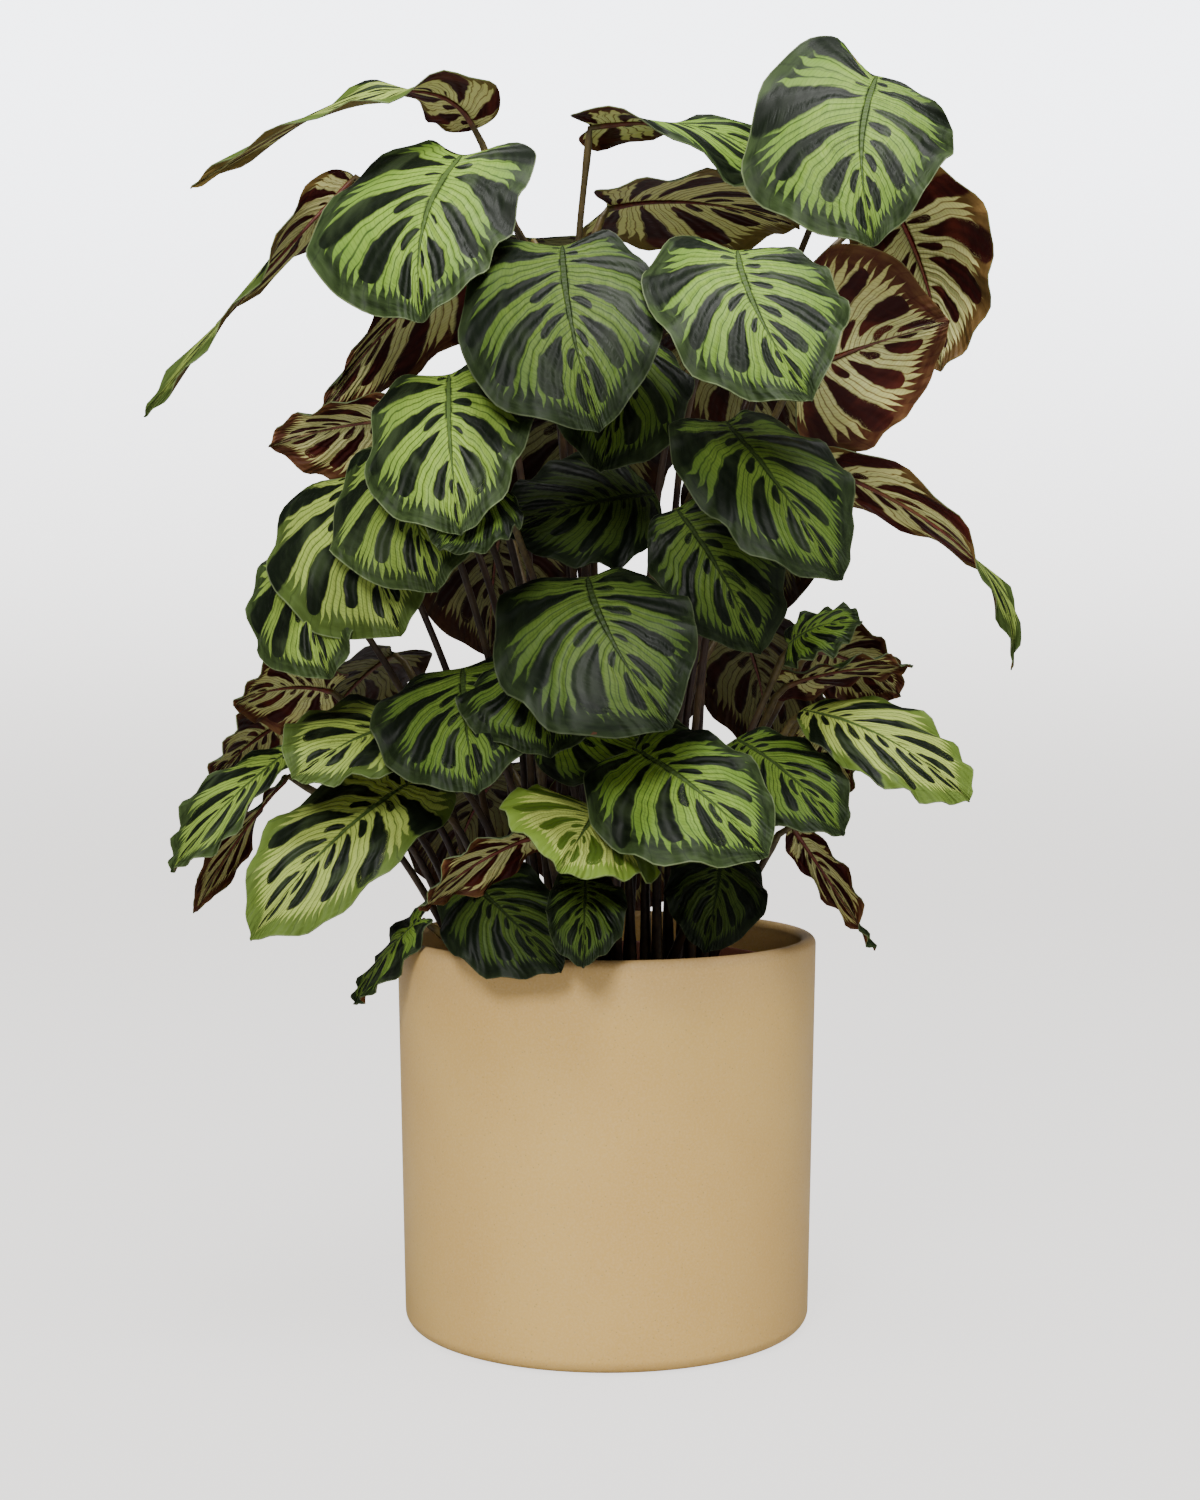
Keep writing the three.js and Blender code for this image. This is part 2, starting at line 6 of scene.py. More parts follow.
import bpy
import numpy as np
from mathutils import Euler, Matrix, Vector


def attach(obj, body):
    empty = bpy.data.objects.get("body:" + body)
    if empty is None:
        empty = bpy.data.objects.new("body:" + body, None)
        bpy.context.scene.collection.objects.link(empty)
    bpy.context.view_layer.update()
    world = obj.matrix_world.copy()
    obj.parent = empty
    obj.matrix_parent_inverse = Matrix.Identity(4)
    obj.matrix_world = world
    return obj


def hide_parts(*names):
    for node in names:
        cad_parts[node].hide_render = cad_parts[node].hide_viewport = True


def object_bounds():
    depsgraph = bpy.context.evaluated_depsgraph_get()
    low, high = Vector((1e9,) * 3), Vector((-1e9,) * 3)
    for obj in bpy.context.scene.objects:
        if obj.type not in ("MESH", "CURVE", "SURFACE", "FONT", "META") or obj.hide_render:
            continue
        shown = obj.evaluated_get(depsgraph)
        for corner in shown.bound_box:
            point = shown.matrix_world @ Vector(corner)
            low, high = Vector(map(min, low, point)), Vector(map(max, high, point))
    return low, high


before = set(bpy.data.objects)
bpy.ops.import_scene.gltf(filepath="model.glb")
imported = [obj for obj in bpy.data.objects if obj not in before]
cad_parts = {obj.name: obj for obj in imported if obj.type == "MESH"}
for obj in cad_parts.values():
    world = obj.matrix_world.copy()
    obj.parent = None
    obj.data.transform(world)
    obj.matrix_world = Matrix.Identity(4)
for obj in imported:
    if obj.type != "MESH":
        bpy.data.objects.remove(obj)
cad_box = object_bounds()

MM = 0.001
SEED = 41
BOX_LOW, BOX_HIGH = (np.array(corner) / MM for corner in cad_box)

# Cover pot, nursery pot and soil
POT_HEIGHT = 232
POT_RIM_RADIUS = 125
POT_FOOT_RADIUS = 121
POT_WALL = 9
POT_FLOOR = 10
FOOT_ROUNDING = 8
POT_SEGMENTS = 160
GAP = 0.3
LINER_HEIGHT = 204
LINER_RIM_RADIUS = 104
LINER_BASE_RADIUS = 80
LINER_WALL = 1.6
LINER_SEGMENTS = 112
# The rolled rim of the nursery pot, as steps out from its wall and up from its top
LINER_RIM = [(0, -10), (1.5, -9.6), (2, -0.6), (1.4, 0), (-1, 0)]
SOIL_TOP = 198
SOIL_CROWN = 5
SOIL_CROWN_RADIUS = 92
SOIL_SETTLING = 1.2
SOIL_BEVEL = (1.5, 4)
SOIL_LUMP = 0.9
SOIL_GRAIN = 0.5
SOIL_RINGS = 30
SOIL_SEGMENTS = 96
# How many crumbs lie on the soil, the shares of earth, bark and stone, and their sizes
CRUMB_COUNT = 420
CRUMB_SHARES = [0.45, 0.45, 0.1]
CRUMB_SIZES = (1.8, 4.6)
STONE_SIZES = (1.2, 2.2)
CRUMB_FLATNESS = (0.35, 0.6)
CRUMB_NARROWNESS = (0.45, 0.9)
CRUMB_UNEVENNESS = (0.75, 1.2)
CRUMB_CORNERS = 0.62
CRUMB_TILT = 0.5
CRUMB_INSET = 5

# Leaves
BLADE_THICKNESS = 0.7
RIPPLE = 3.2
FINE_RIPPLE = 3.2
EDGE_WAVE = 0.05
TIP_DRAW = 0.3
TIP_TAPER = 0.75
STALK_RADIUS = 2.3
STALK_SPACING = 6.8
BEND_SPACING = 85
STALK_DEPTH = 22
STALK_SIDES = 10
ROOT_SPACING = 7.6
ROOT_REACH = 80
LOW_ROOT = 0.55
HIGH_ROOT = 0.28
VEIN_ROWS = 40
ROW_EVENNESS = 0.6
HALF_COLUMNS = 13

# How the side veins leave the midrib and how the outline rounds off
VEIN_CROWDING = 1.6
VEIN_SWEEP = 1.2
VEIN_SPREAD = 0.95
EDGE_CROWDING = 1.2
EDGE_FULLNESS = 0.9
NOTCH_WIDTH = 0.35
TIP_WIDTH = 0.4
NORMAL_STEP = 0.012

# Waves of the outline and ripples near the edge: each has a long and a short one, with its turns
# along the blade and its shift from leaf to leaf
EDGE_TURNS = (11, 27)
EDGE_SHIFTS = (2.3, 1)
EDGE_SIDE_SHIFT = 1.3
SHORT_EDGE_WAVE = 0.6
EDGE_INSET = 0.8
RIPPLE_TURNS = (4.2, 13)
RIPPLE_SHIFT = 1.7
RIPPLE_SIDE_SHIFT = 2.1

# How a stalk rises from the soil and arrives behind its blade
ARRIVE_UP = 0.7
ARRIVE_ALONG = 0.4
ARRIVE_OUTWARD = 0.35
KNEE_LENGTH = 9
ROOT_PULL = 0.4
KNEE_PULL = 0.3
CURVE_STEPS = 40
ROOT_ROUNDS = 80
SPREAD_ROUNDS = 60
STALK_STEPS = 12
STALK_FOOT = 1.05
STALK_TAPER = 0.2
STALK_END = 0.999
SHEATH_BULGE = 1.2
SHEATH_REACH = 45
JOINT_LENGTH = 8
JOINT_BULGE = 0.45
JOINT_REACH = 9
RIB_PLACES = np.concatenate([np.linspace(0, 0.14, 4), np.linspace(0.2, 0.9, 13)])
RIB_RADII = ([0, 0.14, 0.9], [1.9, 1.1, 0.35])

# The habit of a leaf where its row says nothing else
HABIT = dict(bow=10, crest=0.5, sweep=0, curl=-20, twist=[0, 0], slim=0, widest=0.45, heel=0.2,
             inset=1)

# One row for each leaf: base, where the stalk meets the blade, tip, the blade's far end, face, the
# way its upper side looks, the width of the blade or of its left and right halves doubled, and its
# habit. bow lifts the midrib's middle towards face and sweep moves it sideways, both most at crest.
# curl bends each half up by so many degrees, twist turns the blade at the base and at the tip, slim
# narrows it towards the tip, widest is the place of its widest line, heel is how far the lobes
# reach behind the base, and inset is how far out the stalk leaves the soil.
LEAVES = [
    ([-78, 10, 711], [-246, 0, 674], [-0.1, -0.5, 0.85], [76, 104],
     dict(bow=33, crest=0.1, curl=0, twist=[75, 55], slim=0.6, heel=0)),
    ([-83, -40, 686], [-102, -105, 582], [-0.25, -0.9, 0.4], [152, 108],
     dict(sweep=-8, heel=[0.2, 0.34])),
    ([-150, 12, 683], [-273, -10, 539], [-0.7, 0, 0.7], 50,
     dict(bow=3, crest=0.35, curl=0, twist=[75, -55], slim=0.35, heel=0)),
    ([-25, -80, 628], [-4, -145, 519], [-0.05, -0.9, 0.4], [138, 112], dict(bow=12, sweep=-4)),
    ([12, -45, 586], [-4, -108, 500], [0.2, -0.85, 0.5], 96, dict(heel=0)),
    ([72, -95, 623], [108, -160, 534], [0.05, -0.9, 0.42], [118, 112],
     dict(sweep=-9, widest=0.38, heel=[0.34, 0.15])),
    ([156, -30, 733], [149, -84, 627], [-0.1, -0.92, 0.4], [150, 110],
     dict(bow=8, sweep=-8, widest=0.38, heel=[0.43, 0])),
    ([-10, -5, 710], [131, 46, 655], [0.15, -0.7, 0.7], 66,
     dict(bow=32, twist=[-65, 0], heel=0.12)),
    ([0, 26, 668], [118, 45, 658], [0, 0.3, 0.95], 112, dict()),
    ([109, -30, 561], [206, 20, 599], [0.3, 0.9, 0.3], [134, 118], dict(bow=14, heel=[0.3, 0.2])),
    ([176, 70, 680], [205, 50, 572], [0.6, 0.8, 0.2], [124, 92], dict(bow=14)),
    ([66, -84, 530], [126, -142, 440], [0.2, -0.8, 0.55], [98, 98], dict(bow=12, sweep=-5)),
    ([39, -71, 482], [86, -86, 400], [0.1, -0.9, 0.4], [74, 92], dict(heel=0.08)),
    ([112, -35, 513], [238, -20, 390], [0.6, 0, 0.8], 64,
     dict(bow=31, crest=0.75, curl=0, twist=[-70, 75], slim=0.8, heel=0)),
    ([-88, -86, 556], [-78, -148, 464], [-0.25, -0.85, 0.45], [116, 94], dict(bow=8)),
    ([-115, -74, 519], [-92, -130, 434], [-0.35, -0.8, 0.45], [114, 84], dict(bow=8)),
    ([-147, -54, 502], [-114, -104, 410], [-0.35, -0.85, 0.4], [140, 90], dict(bow=8)),
    ([-176, -42, 464], [-155, -90, 386], [-0.45, -0.8, 0.4], [94, 80], dict(bow=8)),
    ([-60, -112, 492], [-90, -146, 456], [-0.1, -0.85, 0.5], 60, dict(bow=4, heel=0, inset=0.3)),
    ([-79, -25, 634], [-168, -25, 538], [-0.4, 0.7, 0.5], [104, 34], dict(slim=0.4)),
    ([-113, -45, 535], [-197, -30, 520], [-0.2, 0.7, 0.6], [78, 46], dict(bow=6)),
    ([28, -42, 492], [-60, -70, 470], [-0.2, -0.85, 0.5], [92, 92], dict(bow=6, heel=0)),
    ([-11, -92, 443], [34, -160, 361], [0, -0.85, 0.5], [142, 104],
     dict(bow=12, sweep=-8, heel=0.15)),
    ([-34, -74, 402], [-31, -130, 344], [-0.1, -0.85, 0.5], [108, 92],
     dict(bow=8, heel=0.05, inset=0.6)),
    ([-82, -60, 392], [-71, -130, 324], [-0.2, -0.8, 0.6], [122, 96], dict()),
    ([-109, -48, 360], [-176, -95, 330], [-0.3, -0.7, 0.6], [112, 76], dict(bow=8)),
    ([-113, -50, 326], [-198, -107, 241], [-0.3, -0.8, 0.5], [96, 86], dict(bow=12)),
    ([-184, -30, 344], [-251, -55, 274], [-0.5, -0.7, 0.6], [60, 42],
     dict(bow=6, curl=0, widest=0.58, heel=0)),
    ([-190, -10, 328], [-242, -34, 248], [-0.4, 0.6, 0.6], 32,
     dict(bow=4, curl=0, twist=[-60, 60], slim=0.3, heel=0)),
    ([-160, -20, 378], [-217, -40, 370], [-0.3, 0.6, 0.7], 70, dict(bow=8)),
    ([-193, 14, 360], [-236, -14, 322], [-0.3, 0.6, 0.7], 68, dict(bow=4)),
    ([104, -55, 405], [145, -70, 418], [0.1, -0.6, 0.8], 54, dict(bow=6)),
    ([122, -4, 402], [175, -4, 374], [0.3, 0.8, 0.5], 62, dict()),
    ([104, -30, 382], [177, -46, 393], [0.1, 0.5, 0.85], 40, dict(bow=4, slim=0.4)),
    ([113, -40, 367], [204, -86, 317], [0.3, -0.7, 0.65], [66, 84],
     dict(bow=12, heel=0, widest=0.6)),
    ([121, -14, 364], [137, -28, 313], [0.5, 0.8, 0.2], 52, dict(bow=6, heel=0.1)),
    ([74, -55, 351], [132, -100, 299], [0.3, -0.8, 0.5], 74, dict(bow=8, heel=0.05)),
    ([14, -100, 348], [86, -153, 292], [0.1, -0.85, 0.5], [112, 84], dict()),
    ([-38, -62, 352], [52, -76, 352], [-0.1, -0.95, 0.3], [62, 44], dict(bow=6, heel=0.1)),
    ([-4, -80, 312], [-26, -160, 285], [0.35, -0.44, 0.77], 100, dict(bow=8, heel=0.1)),
    ([-38, -92, 300], [-104, -116, 259], [-0.3, 0.6, 0.7], 44, dict(bow=6)),
    ([-12, -105, 276], [-13, -152, 232], [0, -0.85, 0.5], 48, dict(bow=6)),
    ([-78, -72, 270], [-25, -140, 228], [-0.2, -0.75, 0.6], [76, 66], dict(bow=8)),
    ([-107, -60, 248], [-148, -38, 195], [-0.7, -0.5, 0.5], [26, 36], dict(bow=4)),
    ([66, -50, 287], [55, -90, 232], [0.2, -0.8, 0.5], 64, dict(bow=6)),
    ([109, -17, 298], [160, -10, 223], [0.5, 0.6, 0.6], 30,
     dict(bow=1, curl=0, twist=[-50, 50], heel=0)),
    ([-45, 62, 655], [-60, 152, 590], [-0.1, 0.7, 0.7], 112, dict(bow=12)),
    ([70, 85, 612], [105, 158, 520], [0.3, 0.8, 0.5], 118, dict(bow=12)),
    ([-25, 75, 560], [-10, 150, 462], [0, 0.85, 0.5], 130, dict(bow=12)),
    ([-115, 52, 515], [-155, 112, 428], [-0.5, 0.75, 0.45], 108, dict(bow=12)),
    ([80, 60, 505], [102, 125, 418], [0.4, 0.75, 0.5], 92, dict(bow=12)),
    ([12, 96, 418], [20, 160, 325], [0.1, 0.85, 0.5], 108, dict(bow=12)),
    ([-64, 64, 484], [-76, 130, 396], [-0.2, 0.85, 0.5], 112, dict(bow=12)),
    ([-130, 42, 400], [-190, 75, 320], [-0.6, 0.5, 0.6], 90, dict(bow=12)),
    ([10, 88, 320], [14, 160, 222], [0, 0.8, 0.6], 134, dict(bow=12)),
    ([78, 58, 424], [106, 122, 332], [0.4, 0.7, 0.5], 112, dict(bow=12)),
    ([-62, 74, 330], [-104, 130, 242], [-0.4, 0.7, 0.6], 108, dict(bow=12)),
]

# Painted light of each leaf, by leaf number: above 0 a paler green, painted glow for light through
# the blade and its sheen; below 0 a deeper green, painted shade
LEAF_PAINTED_GLOW_AND_SHADE = {1: 0.6, 3: 0.5, 4: -0.75, 5: -0.6, 6: -0.1, 7: -0.15, 9: 0.6, 11: 0.4, 12: -0.65,
             13: -0.75, 14: 0.4, 15: 0.1, 16: 0.2, 17: 0.5, 18: 0.2, 19: -0.4, 22: -1.0,
             23: -0.85, 24: -0.5, 25: -0.5, 26: 0.5, 27: 0.7, 28: 0.2, 29: -0.2, 33: -0.3,
             34: -0.3, 35: 0.75, 37: -0.35, 40: 1.0, 41: -0.15, 42: -0.8, 43: -1.0, 45: -1.0}
# The first of the leaves at the back, whose undersides get painted shade, as if in the shade of the
# others
BACK_LEAVES = 47

# The peacock markings. Each half of a blade has at least OVALS dark ovals and up to MORE_OVALS
# more, LINES_TO_AN_OVAL fine lines from one to the next, and RUNGS rungs from rib to edge.
# A leaf's number times LEAF_SHUFFLE gives its own chance.
OVALS = 5.3
MORE_OVALS = 2.2
LINES_TO_AN_OVAL = 6
RUNGS = 26
LEAF_SHUFFLE = 0.618
LEAF_SPECULAR = 0.13
LEAF_RELIEF = 0.0012
# How far the light that passes a blade is tinted with the colour of its side's through
GLOW_TINT = 0.6
# One turn, and about four, for the swell of the ovals and the folds between them
FULL_TURN = 6.283
FOLD_TURN = 25.1

# The floor and the wall round it, in millimetres
FLOOR_LEVEL = -0.5
WALL_RADIUS = 3600
WALL_TOP = 3600
WALL_BEND = 1400
WALL_SEGMENTS = 128
# The painted glow of the backdrop that only the camera sees: its height in metres, and its strength
# at its foot and its top
BACKDROP_GLOW_HEIGHT = 1.6
BACKDROP_GLOW_STRENGTH = (3.9, 6.4)
SKY_STRENGTH = 0.2

# Name, place, aim, size, power and colour of each round lamp, in metres and watts
LAMPS = [
    ("front_left_softbox", (-0.7, -2.4, 2.1), (0, 0, 0.4), 1.0, 76, (1.0, 0.98, 0.95)),
    ("overhead_softbox", (0.2, -0.5, 2.5), (0, 0, 0.5), 1.4, 92, (1.0, 0.99, 0.97)),
    ("right_fill", (2.2, -1.2, 1.2), (0, 0, 0.35), 1.4, 7, (1.0, 0.97, 0.93)),
]
CAMERA_PLACE = (-0.004, -1.450, 0.413)
CAMERA_TILT = 87.2
CAMERA_LENS = 58.32
CAMERA_SENSOR = 36


def srgb(red, green, blue):
    """A colour as seen, 0 to 255, turned to the linear one that a material takes."""
    seen = [value / 255 for value in (red, green, blue)]
    return tuple(v / 12.92 if v <= 0.04045 else ((v + 0.055) / 1.055) ** 2.4 for v in seen) + (1.0,)


# The colours of a blade's upper and under side. pale, pale_margin and pale_mark are painted glow
# for the palest leaves, the second colour of the marks is painted sheen, and deep is painted shade.
UPPER = {
    "ground": srgb(145, 175, 72), "ground_deep": srgb(111, 147, 55),
    "ground_outer": srgb(91, 125, 50), "lines": srgb(44, 72, 22),
    "margin": srgb(32, 44, 22), "margin_pale": srgb(66, 84, 46),
    "marks": srgb(17, 25, 13), "marks_painted_sheen": srgb(50, 62, 38),
    "rib": srgb(76, 98, 46), "rim": srgb(136, 150, 108),
    "pale": srgb(194, 206, 108), "pale_margin": srgb(124, 152, 58),
    "pale_mark": srgb(86, 112, 38), "deep": srgb(10, 17, 9),
    "through": srgb(226, 240, 120),
}
UNDER = {
    "ground": srgb(240, 240, 178), "ground_deep": srgb(216, 220, 136),
    "ground_outer": srgb(220, 212, 128), "lines": srgb(134, 104, 52),
    "margin": srgb(80, 38, 26), "margin_pale": srgb(120, 84, 50),
    "marks": srgb(54, 17, 15), "marks_painted_sheen": srgb(92, 38, 28),
    "rib": srgb(116, 36, 28), "rim": srgb(140, 120, 70),
    "pale": srgb(228, 224, 152), "pale_margin": srgb(164, 158, 78),
    "pale_mark": srgb(120, 92, 44), "deep": srgb(28, 17, 12),
    "through": srgb(240, 240, 146),
}


# Leaf shape


def unit(vectors):
    """Vectors of length 1 that point the same ways."""
    return vectors / np.linalg.norm(vectors, axis=-1, keepdims=True)


def both(value):
    """One number for both halves of a blade, or the left and the right one."""
    return np.array(value if isinstance(value, list) else [value, value], float)


class Leaf:
    """A leaf's row of the table as vectors, with the plain defaults filled in."""

    def __init__(self, row, index):
        base, tip, face, width, habit = row
        self.base, self.tip = np.array(base, float), np.array(tip, float)
        chord = self.tip - self.base
        along = unit(chord)
        self.face = np.array(face, float)
        self.face = unit(self.face - along * self.face.dot(along))
        side = np.cross(self.face, along)
        habit = {**HABIT, **habit}
        self.control = self.base + chord * habit["crest"] + self.face * 2 * habit["bow"]
        self.control = self.control + side * 2 * habit["sweep"]
        self.halves = both(width) / 2
        self.heels = both(habit["heel"])
        for label in ("curl", "twist", "slim", "widest", "inset"):
            setattr(self, label, habit[label])
        self.index = index
        self.name = f"leaf_{index + 1:02d}"


def midrib(leaf, x):
    """Place, direction, normal and side of the midrib at the shares x of its length."""
    x = np.asarray(x, float)
    at = np.clip(x, 0, 1)[..., None]
    slope = 2 * ((leaf.control - leaf.base) * (1 - at) + (leaf.tip - leaf.control) * at)
    place = leaf.base * (1 - at) ** 2 + leaf.control * 2 * at * (1 - at) + leaf.tip * at * at
    place = place + slope * (x[..., None] - at)
    along = unit(slope)
    turn = np.where(x[..., None] < 0.5, leaf.twist[0] * (1 - 2 * at), leaf.twist[1] * (2 * at - 1))
    turn = np.radians(turn)
    normal = unit(leaf.face - along * (along @ leaf.face)[..., None])
    normal = normal * np.cos(turn) + np.cross(along, normal) * np.sin(turn)
    return place, along, normal, np.cross(normal, along)


def flat_point(leaf, s, t):
    """The blade laid flat: s runs from the lowest side vein to the tip, t from edge to edge."""
    heel = np.where(t < 0, leaf.heels[0], leaf.heels[1])
    start = s**VEIN_CROWDING
    angle = np.pi * (1 - s) ** EDGE_CROWDING
    reach = np.where(angle < np.pi / 2, 1 - leaf.widest, leaf.widest + heel)
    notch = np.exp(-(((np.pi - angle) / NOTCH_WIDTH) ** 2))
    notch = 1 - heel / (leaf.widest + heel) * notch
    edge = leaf.widest + reach * np.cos(angle) * notch
    spread = np.clip(np.sin(angle), 0, 1) ** EDGE_FULLNESS * np.tanh(angle / TIP_TAPER)
    spread = spread * (1 - TIP_DRAW * np.exp(-((angle / TIP_WIDTH) ** 2)))
    out = np.abs(t)
    return start + (edge - start) * out**VEIN_SWEEP, np.sign(t) * spread * out**VEIN_SPREAD


def blade_point(leaf, s, t):
    """Places on the blade, bent along its midrib, curled and rippled."""
    x, across = flat_point(leaf, s, t)
    place, _, normal, side = midrib(leaf, x)
    half = np.where(t < 0, leaf.halves[0], leaf.halves[1]) * (1 - leaf.slim * np.maximum(0, x))
    shift = leaf.index + np.where(t < 0, 0, EDGE_SIDE_SHIFT)
    long, short = (np.sin(turns * s + by * shift) for turns, by in zip(EDGE_TURNS, EDGE_SHIFTS))
    wave = 1 + EDGE_WAVE * (long + SHORT_EDGE_WAVE * short - EDGE_INSET)
    out = np.abs(across) * half * wave
    bend = np.radians(leaf.curl or 1) / half
    run, rise = np.sin(bend * out) / bend, (1 - np.cos(bend * out)) / bend
    phase = RIPPLE_SHIFT * leaf.index + np.where(t < 0, 0, RIPPLE_SIDE_SHIFT)
    swell = np.sin(np.pi * s)
    ripple = RIPPLE * t * t * swell * np.sin(RIPPLE_TURNS[0] * np.pi * s + phase)
    fine = FINE_RIPPLE * t**4 * swell * np.sin(RIPPLE_TURNS[1] * np.pi * s + 3 * phase)
    rise = rise + (ripple + fine)
    return place + side * (np.sign(t) * run)[..., None] + normal * rise[..., None]


def blade_normal(leaf, s, t):
    """The way that the upper side looks at places on the blade."""
    step = NORMAL_STEP
    inner = np.clip(s, step, 1 - step)
    forward = blade_point(leaf, inner + step, t) - blade_point(leaf, inner - step, t)
    right, left = np.minimum(1, t + step), np.maximum(-1, t - step)
    outward = blade_point(leaf, inner, right) - blade_point(leaf, inner, left)
    return unit(np.cross(forward, outward))


# Stalks


def root_places(leaves):
    """Where each stalk leaves the soil, no two closer than ROOT_SPACING."""
    heights = [leaf.base[2] for leaf in leaves]
    lowest, highest = min(heights), max(heights)
    places = []
    for leaf in leaves:
        share = (leaf.base[2] - lowest) / (highest - lowest)
        place = leaf.base[:2] * leaf.inset * (LOW_ROOT + (HIGH_ROOT - LOW_ROOT) * share)
        reach = math.hypot(*place)
        places.append(list(place * min(1, ROOT_REACH / max(reach, 1e-9))))
    for _ in range(ROOT_ROUNDS):
        for i, one in enumerate(places):
            for two in places[i + 1:]:
                dx, dy = two[0] - one[0], two[1] - one[1]
                length = math.hypot(dx, dy)
                short = ROOT_SPACING - length
                if short <= 0:
                    continue
                push = short / 2 / length
                one[0] -= dx * push
                one[1] -= dy * push
                two[0] += dx * push
                two[1] += dy * push
    return places


def stalk_path(leaf, root):
    """The bends of a stalk from the soil to its blade, evenly spaced in height."""
    start = np.array([root[0], root[1], SOIL_TOP + SOIL_CROWN], float)
    _, along, normal, _ = midrib(leaf, 0.0)
    outward = unit(leaf.base * [1, 1, 0])
    arrive = along * ARRIVE_ALONG + outward * ARRIVE_OUTWARD
    arrive = unit(arrive + [0, 0, ARRIVE_UP])
    knee = leaf.base - arrive * KNEE_LENGTH - normal
    reach = np.linalg.norm(knee - start)
    first = start + np.array([0, 0, reach * ROOT_PULL])
    second = knee - arrive * reach * KNEE_PULL
    share = np.linspace(0, 1, CURVE_STEPS + 1)[:, None]
    fine = start * (1 - share) ** 3 + first * 3 * share * (1 - share) ** 2
    fine = fine + second * 3 * share**2 * (1 - share) + knee * share**3
    path = [list(start)]
    height = start[2] + BEND_SPACING
    while height < knee[2] - BEND_SPACING / 3:
        above = int(np.argmax(fine[:, 2] >= height))
        low, high = fine[above - 1], fine[above]
        path.append(list(low + (high - low) * (height - low[2]) / (high[2] - low[2])))
        height += BEND_SPACING
    path.append(list(knee))
    return path


def plan_at(path, height):
    """Where a stalk passes a height, seen from above."""
    above = 1
    for i, point in enumerate(path):
        if point[2] >= height:
            above = max(1, i)
            break
    low, high = path[above - 1], path[above]
    share = (height - low[2]) / (high[2] - low[2])
    return low[0] + (high[0] - low[0]) * share, low[1] + (high[1] - low[1]) * share


def nudge(path, bend, shift, share):
    """Moves one bend of a stalk sideways, but never its ends."""
    if 0 < bend < len(path) - 1:
        path[bend][0] += shift[0] * share
        path[bend][1] += shift[1] * share


def part_pair(one, two):
    """Bends two stalks clear of each other where they pass."""
    top = min(one[-1][2], two[-1][2])
    bend = 0
    while one[0][2] + bend * BEND_SPACING < top:
        low = one[0][2] + bend * BEND_SPACING
        high = min(low + BEND_SPACING, top)
        a, b = plan_at(one, low), plan_at(two, low)
        c, d = plan_at(one, high), plan_at(two, high)
        below = (b[0] - a[0], b[1] - a[1])
        change = (d[0] - c[0] - below[0], d[1] - c[1] - below[1])
        length = max(1e-6, change[0] ** 2 + change[1] ** 2)
        share = min(1, max(0, -(below[0] * change[0] + below[1] * change[1]) / length))
        apart = (below[0] + change[0] * share, below[1] + change[1] * share)
        distance = math.hypot(*apart)
        short = STALK_SPACING - distance
        if short > 0:
            shift = (apart[0] * short / 2 / distance, apart[1] * short / 2 / distance)
            nudge(two, bend, shift, 1 - share)
            nudge(two, bend + 1, shift, share)
            nudge(one, bend, shift, share - 1)
            nudge(one, bend + 1, shift, -share)
        bend += 1


def spread_stalks(paths):
    """Bends all stalks until each pair passes clear."""
    for _ in range(SPREAD_ROUNDS):
        for i, one in enumerate(paths):
            for two in paths[i + 1:]:
                part_pair(one, two)


def smooth_way(points, steps):
    """A smooth line through points, with so many steps between each two."""
    points = np.array(points, float)
    padded = np.vstack([2 * points[0] - points[1], points, 2 * points[-1] - points[-2]])
    share = np.linspace(0, 1, steps, endpoint=False)[:, None]
    pieces = []
    for a, b, c, d in zip(padded, padded[1:], padded[2:], padded[3:]):
        pieces.append(0.5 * (2 * b + (c - a) * share + (2 * a - 5 * b + 4 * c - d) * share**2
                             + (3 * b - a - 3 * c + d) * share**3))
    return np.vstack(pieces + [points[-1:]])


def round_stem(points, radii, sides):
    """Vertices and faces of a round stem through points, closed at both ends."""
    across = np.array([1.0, 0, 0])
    rings = []
    for i, point in enumerate(points):
        along = unit(points[min(len(points) - 1, i + 1)] - points[max(0, i - 1)])
        across = unit(across - along * across.dot(along))
        other = np.cross(along, across)
        turn = 2 * np.pi * np.arange(sides) / sides
        circle = np.outer(np.cos(turn), across) + np.outer(np.sin(turn), other)
        rings.append(point + circle * radii[i])
    faces = []
    for i in range(len(points) - 1):
        for k in range(sides):
            a, b = i * sides + k, i * sides + (k + 1) % sides
            faces.append((a, b, b + sides, a + sides))
    faces.append(tuple(range(sides))[::-1])
    faces.append(tuple(range((len(points) - 1) * sides, len(points) * sides)))
    return np.vstack(rings), faces


# Meshes


def make_piece(name, vertices, faces, materials, face_material=None, measures=None, sharp=40):
    """An object from vertices in millimetres, with named numbers for its vertices."""
    mesh = bpy.data.meshes.new(name)
    mesh.from_pydata((np.asarray(vertices) * MM).tolist(), [], faces)
    for material in materials:
        mesh.materials.append(material)
    if face_material is not None:
        mesh.polygons.foreach_set("material_index", np.asarray(face_material, np.int32))
    for label, values in (measures or {}).items():
        layer = mesh.attributes.new(label, "FLOAT", "POINT")
        layer.data.foreach_set("value", np.asarray(values, np.float32))
    mesh.polygons.foreach_set("use_smooth", np.ones(len(mesh.polygons), bool))
    mesh.update()
    mesh.set_sharp_from_angle(angle=math.radians(sharp))
    piece = bpy.data.objects.new(name, mesh)
    bpy.context.scene.collection.objects.link(piece)
    return piece


def stand_for(piece, node):
    """Sets a piece on the root body in the place of a solid, and hides the solid."""
    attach(piece, "root")
    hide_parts(node)


